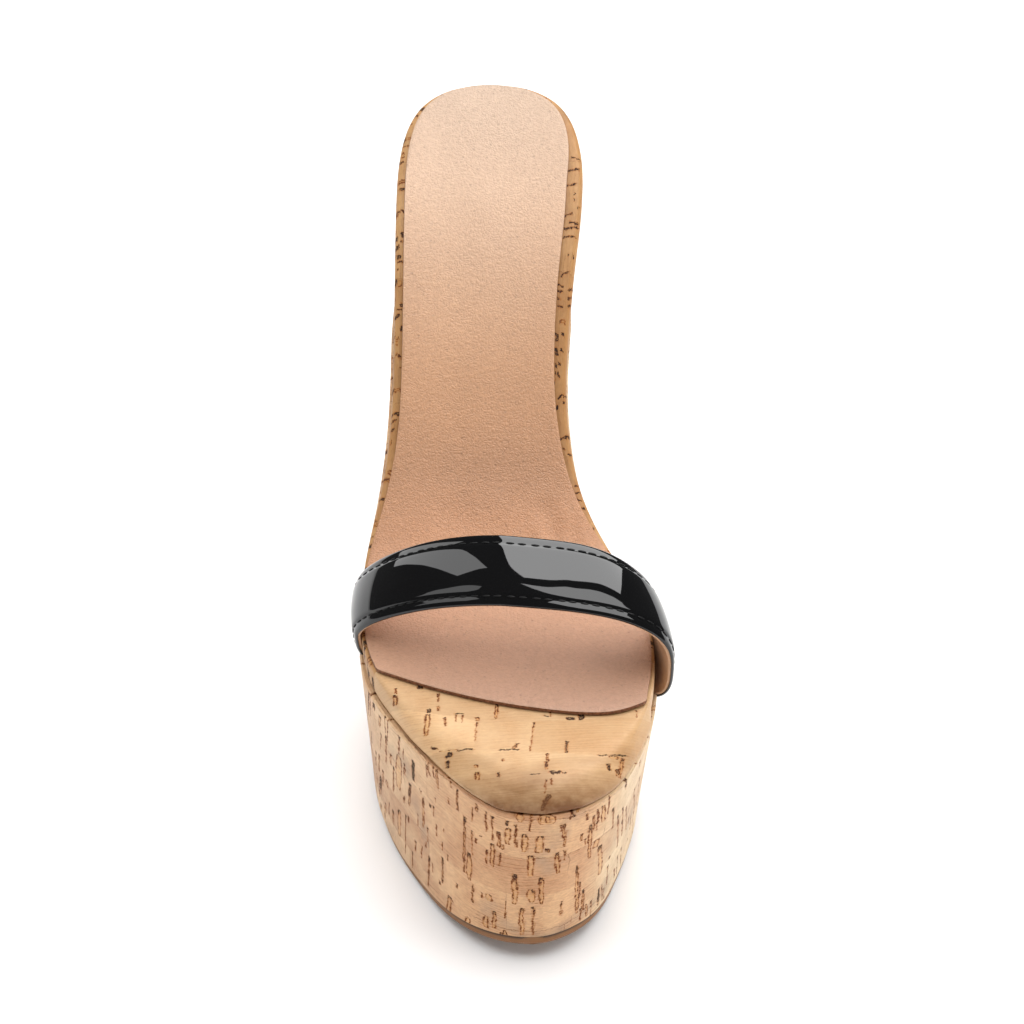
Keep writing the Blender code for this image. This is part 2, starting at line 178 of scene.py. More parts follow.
def eased(share):
    return share * share * (3 - 2 * share)


def walkedAlong(line):
    # length from the line's first point to each of its points
    return np.concatenate([[0], np.cumsum(np.linalg.norm(np.diff(line, axis=0), axis=1))])


def planOutline(points, cut=2 * mm, step=0.5 * mm):
    # the outline seen from above, at the height of the piece's top, and the length to each of its points
    # from the toe, outer side negative
    slices = np.floor((points[:, 1] - points[:, 1].min()) / cut).astype(int)
    toe, back = points[points[:, 1].argmin()], points[points[:, 1].argmax()]
    ring, lengths = [], []
    for sign in (-1, 1):
        line = []
        for one in np.unique(slices):
            part = points[slices == one]
            edge = part[(sign * part[:, 0]).argmax()]
            line.append((edge[0], edge[1], part[:, 2].max()))
        line = np.array([(toe[0], toe[1], line[0][2])] + line + [(back[0], back[1], line[-1][2])])
        walked = walkedAlong(line)
        at = np.arange(0, walked[-1], step)
        ring.append(np.stack([np.interp(at, walked, line[:, i]) for i in range(3)], axis=1))
        lengths.append(sign * at)
    return np.vstack(ring), np.concatenate(lengths)


def aroundBack(corners, wholeLength, widest=50 * mm):
    # a face across the middle of the back gets one run of lengths, not one from each side
    if max(u for u, v in corners) - min(u for u, v in corners) < widest:
        return corners
    return [(u + wholeLength if u < 0 else u, v) for u, v in corners]


def nearestOn(ring, points, batch=4000):
    # index of the ring's point nearest to each point, seen from above, and its distance
    index = np.empty(len(points), int)
    gap = np.empty(len(points))
    for start in range(0, len(points), batch):
        part = points[start:start + batch, None, :2] - ring[None, :, :2]
        square = (part ** 2).sum(axis=2)
        index[start:start + batch] = square.argmin(axis=1)
        gap[start:start + batch] = np.sqrt(square.min(axis=1))
    return index, gap


# Camera: the photograph's own standpoint, turned to frame this shoe
cameraSet = {
    "place": (-26.7, -564.0, 517.6),  # mm
    "aim": (2.4, -3.7, 79.5),
    "lens": 85.0, "sensor": 36, "nearest": 10 * mm,
}

eye = bpy.data.cameras.new("studioCamera")
eye.lens = cameraSet["lens"]
eye.sensor_width = cameraSet["sensor"]
eye.clip_start = cameraSet["nearest"]
camera = newObject("studioCamera", eye)
camera.location = Vector(cameraSet["place"]) * mm
sight = (Vector(cameraSet["aim"]) - Vector(cameraSet["place"])).normalized()
camera.rotation_euler = sight.to_track_quat("-Z", "Y").to_euler()
bpy.context.scene.camera = camera

# Studio: a white floor, wide fills that light the matt surfaces, and panels that only gloss mirrors, which
# place the pale patches on the strap
floorSet = {"size": 8.0, "colour": "#F2F2F2", "below": 0.05 * mm, "speck": 40.0, "roughness": (0.75, 0.85)}

selectOnly(camera)
bpy.ops.mesh.primitive_grid_add(x_subdivisions=4, y_subdivisions=4, size=floorSet["size"],
                                location=(0, 0, -floorSet["below"]))
floor = bpy.context.object
floor.name = "paleFloor"
bpy.ops.object.transform_apply(location=True, rotation=True, scale=True)
paper, tree, shader = newMaterial("whitePaper")  # matt studio paper
speck = addNode(tree, "TexNoise", {"Vector": addNode(tree, "TexCoord", out="Object"), "Scale": floorSet["speck"],
                                   "Detail": 3.0})
feed(shader, {"Base Color": linear(floorSet["colour"]),
              "Roughness": addNode(tree, "MapRange", [speck, 0.0, 1.0, *floorSet["roughness"]])})
floor.data.materials.append(paper)

lightSet = {  # a corner and the two sides that leave it, in m, how bright, and whether it is seen in gloss
    "ceiling": ((-2.1, -0.95, 2.5), (4.8, 0.0, 0.0), (0.0, 4.9, 0.0), 3.25, False),
    "lowFront": ((-1.2, -1.7, 0.2), (2.4, 0.0, 0.0), (0.0, 0.0, 0.25), 5.7, False),
    "sideOuter": ((-1.3, -0.9, 0.03), (0.0, 1.6, 0.0), (0.0, 0.0, 0.4), 1.7, False),
    "sideInner": ((1.3, -0.9, 0.03), (0.0, 1.6, 0.0), (0.0, 0.0, 0.5), 3.64, False),
    "boxInner": ((-0.075, -0.325, 0.96), (1.02, 0.304, 0.386), (0.053, 0.613, -0.616), 6.3, True),
    "stripInner": ((-0.15, -0.558, 1.359), (0.17, -0.48, -0.126), (1.31, 0.356, 0.448), 4.6, True),
    "wingOuter": ((-1.126, -0.329, 1.48), (-0.273, 1.165, -1.062), (0.62, 0.005, -0.153), 3.2, True),
    "stripOuter": ((-0.49, -0.436, 0.985), (-1.07, 0.214, 0.089), (-0.033, -0.044, -0.30), 1.9, True),
}
worldGlow = 0.12

for name, (corner, length, width, brightness, mirrored) in lightSet.items():
    length, width = Vector(length), Vector(width)
    width -= length * (width.dot(length) / length.length_squared)
    centre = Vector(corner) + (length + width) / 2
    if length.cross(width).dot(centre) < 0:  # the lit face looks down its own -Z
        width.negate()
    lamp = bpy.data.lights.new(name, "AREA")
    lamp.shape = "RECTANGLE"
    lamp.size, lamp.size_y = length.length, width.length
    lamp.energy = math.pi * length.length * width.length * brightness
    holder = newObject(name, lamp)
    holder.location = centre
    axes = [length.normalized(), width.normalized(), length.cross(width).normalized()]
    holder.rotation_euler = Matrix(axes).transposed().to_euler()
    holder.visible_camera = False
    holder.visible_glossy = mirrored
    holder.visible_diffuse = not mirrored

world = bpy.data.worlds.new("studioAir")
world.use_nodes = True
feed(world.node_tree.nodes["Background"], {"Color": (1, 1, 1, 1), "Strength": worldGlow})
bpy.context.scene.world = world
bpy.context.scene.view_settings.view_transform = "Standard"
print("stage: camera, floor and lights")

# Cork veneer: thin sheets of pressed bark glued in blocks, so pale brown layers crossed by pores with dark
# rims and amber dust in them. The pores run along v, the layers along u, and all sizes here are in mm.
corkTones = {
    "wall": {"pale": "#CCA37B", "deep": "#AE7F5B", "layer": "#7F512F", "amber": "#C4925A", "smudge": "#927B67"},
    "sheet": {"pale": "#BC9A73", "deep": "#AF875D", "layer": "#8A5E36", "amber": "#BE8D53", "smudge": "#96734F"},
    "strip": {"pale": "#B1895A", "deep": "#9C7044", "layer": "#754C2A", "amber": "#AE7D3F", "smudge": "#6F5134"},
}
# the last ink is painted shade, for where the toe's sheet turns down at its front
corkInk = {"brown": "#632D0C", "black": "#190C08", "joint": "#5E3516", "rust": "#995A24", "turnShadeTone": "#694123"}
corkNoise = {  # scale across and along, shift, detail and roughness
    "wobble": ((0.42, 0.42), (0, 0), 3.0, 0.72),
    "clouds": ((0.09, 0.09), (0, 0), 4.0, 0.6),
    "fine": ((1.9, 1.9), (0, 0), 2.0, 0.6),
    "patch": ((0.055, 0.055), (2.255, 0.935), 2.0, 0.5),
    "drift": ((0.025, 0.14), (0, 0), 2.0, 0.5),
    "rim": ((0.6, 0.6), (0, 0), 2.0, 0.6),
    "streak": ((0.6, 1.3), (0, 0), 4.0, 0.75),
}
corkMask = {  # what is drawn from each noise: the ends of its range and what they become, if the blocks don't say
    "smudge": ("patch", 0.60, 0.78, 0.0, 0.6),
    "layerShow": ("fine", 0.30, 0.62),
    "faded": ("clouds", 0.42, 0.60, 0.12),
    "jointShow": ("patch", 0.46, 0.56),
    "rim": ("rim", 0.34, 0.66, -0.06, 0.29),   # least and most half thickness of a pore's dark rim
    "dust": ("fine", 0.35, 0.65, 0.1, 0.75),
    "rust": ("fine", 0.35, 0.6, 0.35, 0.9),
    "broken": ("fine", 0.34, 0.48, 0.35, 0.96),
    "burnt": ("clouds", 0.45, 0.75, 0.0, 0.35),
    "uneven": ("clouds", 0.3, 0.6, 0.4),
    "mottle": ("streak", 0.25, 0.75),
}
corkSet = {
    "wobble": (1.1, 1.8, 0.0),   # how far pores and joints wander
    "tint": (0.25, 0.75),
    "blockPhase": 31.0, "driftPhase": 26.0, "lines": (0.7, 0.98),   # how the layers shift and how sharp they are
    "roughness": (0.48, 0.75), "specular": 0.2,                     # the pores are duller
    "poreDepth": -4.0, "bump": 0.3, "bumpDepth": 0.05 * mm,
}
poreSet = {
    "taper": 0.35,            # power that narrows it towards both ends
    "ends": (0.0, 0.10),      # where it fades out there
    "tip": (0.45, 0.95),      # share of the half length over which the upper end thickens
    "tipThick": 0.16,
    "halo": (-0.4, 0.0),      # reach of the rust round it
    "rimEdge": (-0.08, 0.06), "innerEdge": (0.05, -0.12),   # soft borders of rim and inside
    "level": (0.95, 1.15),    # border of the part filled dark
}


def poreShape():
    # one lens-shaped pore, from a place, a centre with its slant, and half sizes with the share filled dark
    group = bpy.data.node_groups.new("corkPore", "ShaderNodeTree")
    for name in ("Place", "Centre", "Half"):
        group.interface.new_socket(name, in_out="INPUT", socket_type="NodeSocketVector")
    group.interface.new_socket("Rim", in_out="INPUT", socket_type="NodeSocketFloat")
    for name in ("Dark", "Inside", "Filled", "Halo"):
        group.interface.new_socket(name, in_out="OUTPUT", socket_type="NodeSocketFloat")
    given = addNode(group, "NodeGroupInput", out=None).outputs
    away = addNode(group, "VectorMath.SUBTRACT", [given["Place"], given["Centre"]])
    away = addNode(group, "SeparateXYZ", [away], None).outputs
    slant = addNode(group, "SeparateXYZ", [given["Centre"]], 2)
    half = addNode(group, "SeparateXYZ", [given["Half"]], None).outputs
    share = addNode(group, "Math.DIVIDE", [away[1], half[1]])
    square = addNode(group, "Math.MULTIPLY", [share, share])
    square = addNode(group, "Math.SUBTRACT", [1.0, square], use_clamp=True)
    taper = addNode(group, "Math.POWER", [square, poreSet["taper"]])
    side = addNode(group, "Math.MULTIPLY", [taper, half[0]])
    lean = addNode(group, "Math.MULTIPLY", [away[1], slant])
    out = addNode(group, "Math.SUBTRACT", [away[0], lean])
    out = addNode(group, "Math.ABSOLUTE", [out])
    out = addNode(group, "Math.SUBTRACT", [out, side])
    within = addNode(group, "MapRange", [square, *poreSet["ends"]])
    tip = addNode(group, "MapRange", [share, *poreSet["tip"]])
    thick = addNode(group, "Math.MULTIPLY_ADD", [tip, poreSet["tipThick"], given["Rim"]])
    edge = addNode(group, "Math.ABSOLUTE", [out])
    edge = addNode(group, "Math.SUBTRACT", [thick, edge])
    halo = addNode(group, "MapRange", [edge, *poreSet["halo"]])
    halo = addNode(group, "Math.MULTIPLY", [halo, within])
    edge = addNode(group, "MapRange", [edge, *poreSet["rimEdge"]])
    edge = addNode(group, "Math.MULTIPLY", [edge, within])
    inner = addNode(group, "MapRange", [out, *poreSet["innerEdge"]])
    inner = addNode(group, "Math.MULTIPLY", [inner, within])
    level = addNode(group, "Math.MULTIPLY_ADD", [half[2], 2.0, share])
    level = addNode(group, "MapRange", [level, *poreSet["level"]])
    full = addNode(group, "Math.MULTIPLY", [inner, level])
    dark = addNode(group, "Math.MAXIMUM", [edge, full])
    tip = addNode(group, "Math.MAXIMUM", [half[2], tip])
    near = addNode(group, "Math.MULTIPLY", [dark, tip])
    addNode(group, "NodeGroupOutput", {"Dark": dark, "Inside": inner, "Filled": near, "Halo": halo}, None)
    return group


poreGroup = poreShape()


def corkVeneer(name, tones, blocks):
    material, tree, shader = newMaterial(name)
    plain = addNode(tree, "VectorMath.SCALE", {0: addNode(tree, "UVMap", uv_map="grain"), "Scale": 1 / mm})
    noise = {}
    for key, (scale, shift, detail, roughness) in corkNoise.items():
        at = addNode(tree, "VectorMath.MULTIPLY_ADD", [plain, (*scale, 0), (*shift, 0)])
        noise[key] = addNode(tree, "TexNoise", {"Vector": at, "Scale": 1.0, "Detail": detail, "Roughness": roughness},
                             "Color" if key == "wobble" else 0, noise_dimensions="2D")
    mask = {key: addNode(tree, "MapRange", [noise[source], *ends, *blocks.get(key, ())])
            for key, (source, *ends) in corkMask.items()}
    wobble = addNode(tree, "VectorMath.SUBTRACT", [noise["wobble"], (0.5, 0.5, 0.5)])
    wobble = addNode(tree, "VectorMath.MULTIPLY", [wobble, corkSet["wobble"]])
    place = addNode(tree, "VectorMath.ADD", [plain, wobble])

    # ground tone in soft clouds and glued blocks
    brick = addNode(tree, "TexBrick", {
        "Vector": addNode(tree, "VectorMath.ADD", [place, (*blocks["origin"], 0)]),
        "Color1": (0, 0, 0, 1), "Color2": (1, 1, 1, 1), "Mortar": (0.5, 0.5, 0.5, 1), "Scale": 1.0,
        "Mortar Size": blocks["line"], "Mortar Smooth": 0.3, "Bias": 0.0, "Brick Width": blocks["width"],
        "Row Height": blocks["height"]}, None, offset=blocks["shift"], offset_frequency=2).outputs
    tint = addNode(tree, "Mix.FLOAT", {0: blocks["tint"], 2: noise["clouds"], 3: brick["Color"]})
    tint = addNode(tree, "MapRange", [tint, *corkSet["tint"]])
    colour = addNode(tree, "Mix.RGBA", {0: tint, 6: linear(tones["pale"]), 7: linear(tones["deep"])}, 2)
    # facets: a block's own tone, and on the wall painted sheen and light round its sides
    for gain, soft, bounds in blocks["facets"]:
        inside = 1.0
        for byAcross, byAlong, limit in bounds:
            side = addNode(tree, "VectorMath.DOT_PRODUCT", [place, (byAcross, byAlong, 0)], "Value")
            side = addNode(tree, "MapRange", [side, limit + soft, limit - soft])
            inside = addNode(tree, "Math.MULTIPLY", [side, inside])
        gain = addNode(tree, "Mix.RGBA", {0: inside, 6: (1, 1, 1, 1), 7: (*gain, 1)}, 2)
        colour = addNode(tree, "VectorMath.MULTIPLY", [colour, gain])

    # coats over it: a few grey smudges, thin straight layers, each block with its own, and ragged joints
    up = addNode(tree, "SeparateXYZ", [plain], 1)
    phase = addNode(tree, "Math.MULTIPLY", [brick["Color"], corkSet["blockPhase"]])
    phase = addNode(tree, "Math.MULTIPLY_ADD", [up, 2 * math.pi / blocks["layer"], phase])
    phase = addNode(tree, "Math.MULTIPLY_ADD", [noise["drift"], corkSet["driftPhase"], phase])
    layers = addNode(tree, "Math.SINE", [phase])
    lines = addNode(tree, "MapRange", [layers, *corkSet["lines"]])
    for key in ("layerShow", "faded"):
        lines = addNode(tree, "Math.MULTIPLY", [lines, mask[key]])
    seam = addNode(tree, "Math.MULTIPLY", [brick["Fac"], mask["jointShow"]])
    coats = [(mask["smudge"], tones["smudge"]), (lines, tones["layer"]), (seam, corkInk["joint"])]

    # the two pores nearest to each face: amber dust inside, rust round them, a broken dark rim
    most = {"Dark": 0.0, "Filled": 0.0, "Halo": 0.0}
    for rank in ("First", "Second"):
        given = {key: addNode(tree, "Attribute", out="Vector", attribute_name="pore" + key + rank)
                 for key in ("Centre", "Half")}
        pore = addNode(tree, "Group", {"Place": place, "Rim": mask["rim"], **given}, None, node_tree=poreGroup).outputs
        coats.append((addNode(tree, "Math.MULTIPLY", [pore["Inside"], mask["dust"]]), tones["amber"]))
        most = {key: addNode(tree, "Math.MAXIMUM", [pore[key], value]) for key, value in most.items()}
    coats.append((addNode(tree, "Math.MULTIPLY", [most["Halo"], mask["rust"]]), corkInk["rust"]))
    dark = addNode(tree, "Math.MULTIPLY", [most["Dark"], mask["broken"]])
    burnt = addNode(tree, "Math.ADD", [mask["burnt"], most["Filled"]], use_clamp=True)
    ink = addNode(tree, "Mix.RGBA", {0: burnt, 6: linear(corkInk["brown"]), 7: linear(corkInk["black"])}, 2)
    coats.append((dark, ink))
    if "paintedTurnShade" in blocks:   # painted shade, darker where the sheet turns down at its front
        low = addNode(tree, "MapRange", [up, *blocks["paintedTurnShade"]])
        coats.append((addNode(tree, "Math.MULTIPLY", [low, mask["uneven"]]), corkInk["turnShadeTone"]))
    for share, tone in coats:
        tone = linear(tone) if isinstance(tone, str) else tone
        colour = addNode(tree, "Mix.RGBA", {0: share, 6: colour, 7: tone}, 2)
    relief = addNode(tree, "Math.MULTIPLY_ADD", [dark, corkSet["poreDepth"], layers])
    feed(shader, {
        "Base Color": addNode(tree, "VectorMath.SCALE", {0: colour, "Scale": mask["mottle"]}),
        "Roughness": addNode(tree, "MapRange", [dark, 0.0, 1.0, *corkSet["roughness"]]),
        "Normal": addNode(tree, "Bump", {"Strength": corkSet["bump"], "Distance": corkSet["bumpDepth"],
                                         "Height": relief}),
        "Specular IOR Level": corkSet["specular"]})
    return material


def spreadPores(piece, perCorner, pores, batch=2000):
    # each face keeps the two pores nearest to it, for the veneer to draw
    # a pore is: across, along, half width, half length, share filled dark, slant
    count = len(piece.data.polygons)
    starts, totals = np.empty(count, int), np.empty(count, int)
    piece.data.polygons.foreach_get("loop_start", starts)
    piece.data.polygons.foreach_get("loop_total", totals)
    middle = np.add.reduceat(np.asarray(perCorner, float), starts, axis=0) / totals[:, None] / mm
    table = np.array(pores, float)
    nearest = np.empty((count, 2), int)
    for start in range(0, count, batch):
        away = middle[start:start + batch, None, :] - table[None, :, :2]
        side = np.abs(away[..., 0] - table[:, 5] * away[..., 1]) - table[:, 2]
        end = np.abs(away[..., 1]) - table[:, 3]
        gap = np.hypot(np.maximum(side, 0), np.maximum(end, 0)) + 0.01 * np.abs(side)
        nearest[start:start + batch] = np.argsort(gap, axis=1)[:, :2]
    for column, rank in enumerate(("First", "Second")):
        chosen = table[nearest[:, column]]
        for name, parts in (("poreCentre", (0, 1, 5)), ("poreHalf", (2, 3, 4))):
            layer = piece.data.attributes.new(name + rank, "FLOAT_VECTOR", "FACE")
            layer.data.foreach_set("vector", chosen[:, parts].ravel())


def scatterPores(seed, across, along, spread):
    # pores strewn over a stretch of veneer, one to a cell at most
    dice = np.random.default_rng(seed)
    cell, lengths, kinds = spread["cell"], spread["lengths"], spread["kinds"]
    chances = np.cumsum([one[0] for one in kinds])
    pores = []
    for u in np.arange(*across, cell[0]):
        for v in np.arange(*along, cell[1]):
            shift, kind, wide, long, lean, kept = dice.random(6)
            dv = dice.random()
            _, widths, filling = kinds[min(int(np.searchsorted(chances, kind * chances[-1])), len(kinds) - 1)]
            if kept < spread["share"]:
                pores.append((u + shift * cell[0], v + dv * cell[1], widths[0] + wide ** 2 * (widths[1] - widths[0]),
                              lengths[0] + long ** 1.5 * (lengths[1] - lengths[0]), filling, (lean - 0.5) * 0.10))
    return pores


def clearOf(pores, charted, room):
    # those that keep their distance from the charted ones
    table = np.array(charted, float)
    kept = []
    for pore in pores:
        side = np.abs(table[:, 0] - pore[0]) - table[:, 2] - pore[2]
        end = np.abs(table[:, 1] - pore[1]) - table[:, 3] - pore[3]
        if np.hypot(np.maximum(side, 0), np.maximum(end, 0)).min() > room:
            kept.append(pore)
    return kept


# facets are single blocks of their own tone, and on the wall its two sides, with painted sheen and light: brightness of
# red, green and blue, soft width of the edge, lines a u + b v < c round it
wallBlocks = {
    "origin": (11.0, 4.0), "width": 31.0, "height": 15.5, "shift": 0.41, "line": 0.14, "tint": 0.35,
    "layer": 1.15, "layerShow": (0.0, 0.75), "jointShow": (0.0, 0.6), "mottle": (0.82, 1.17),
    "facets": [((1.04, 1.17, 1.28), 14.0, [(1.0, 0.0, -40.0)]),   # painted sheen and light: the outer side paler and greyer, the inner side more so
               ((1.08, 1.36, 1.58), 8.0, [(-1.0, 0.0, -20.0)])],
}
sheetBlocks = {
    "origin": (3.0, 2.0), "width": 47.0, "height": 31.0, "shift": 0.33, "line": 0.0, "tint": 0.25,
    "layer": 1.25, "layerShow": (0.0, 0.32), "jointShow": (0.0, 0.0), "mottle": (0.93, 1.07),
    "paintedTurnShade": (9.5, -5.0, 0.0, 0.95),   # painted shade where the sheet turns down: from and to this far along, and from and to this much
    "facets": [
        ((1.18, 1.2, 1.22), 0.15, [(1.0, -0.11, -14.5), (0.0, -1.0, -19.0), (0.33, 1.0, 27.1)]),
        ((1.06, 1.07, 1.08), 0.15, [(-1.0, 0.11, 14.5), (1.0, -0.15, 0.0), (0.1, -1.0, -17.4), (0.0, 1.0, 29.5)]),
        ((0.95, 0.91, 0.85), 0.15, [(-1.0, 0.15, 0.0), (-0.1, -1.0, -16.6), (0.0, 1.0, 29.5)]),
        ((1.04, 1.05, 1.05), 0.15, [(0.1, 1.0, 17.2), (0.0, -1.0, -8.5)])],
}
stripBlocks = {
    "origin": (7.0, 9.0), "width": 37.0, "height": 25.0, "shift": 0.4, "line": 0.12, "tint": 0.4,
    "layer": 1.1, "layerShow": (0.0, 0.5), "jointShow": (0.0, 0.5), "mottle": (0.88, 1.12), "facets": [],
}
wallCork = corkVeneer("corkVeneerWall", corkTones["wall"], wallBlocks)
sheetCork = corkVeneer("corkVeneerSheet", corkTones["sheet"], sheetBlocks)
stripCork = corkVeneer("corkVeneerStrip", corkTones["strip"], stripBlocks)
# strewn pores: cell, half lengths, share of cells used, and of each kind its chance, half widths and share filled
wallSpread = {"cell": (5.2, 11.5), "lengths": (1.4, 7.5), "share": 0.85,
              "kinds": [(0.58, (0.02, 0.25), 0.15), (0.30, (0.45, 1.15), 0.0), (0.12, (0.35, 0.9), 0.75)]}
stripSpread = {"cell": (2.9, 5.0), "lengths": (0.6, 3.0), "share": 0.85,
               "kinds": [(0.4, (0.05, 0.35), 0.7), (0.2, (0.4, 0.9), 0.1), (0.4, (0.4, 1.2), 1.0)]}
print("stage: cork veneer")

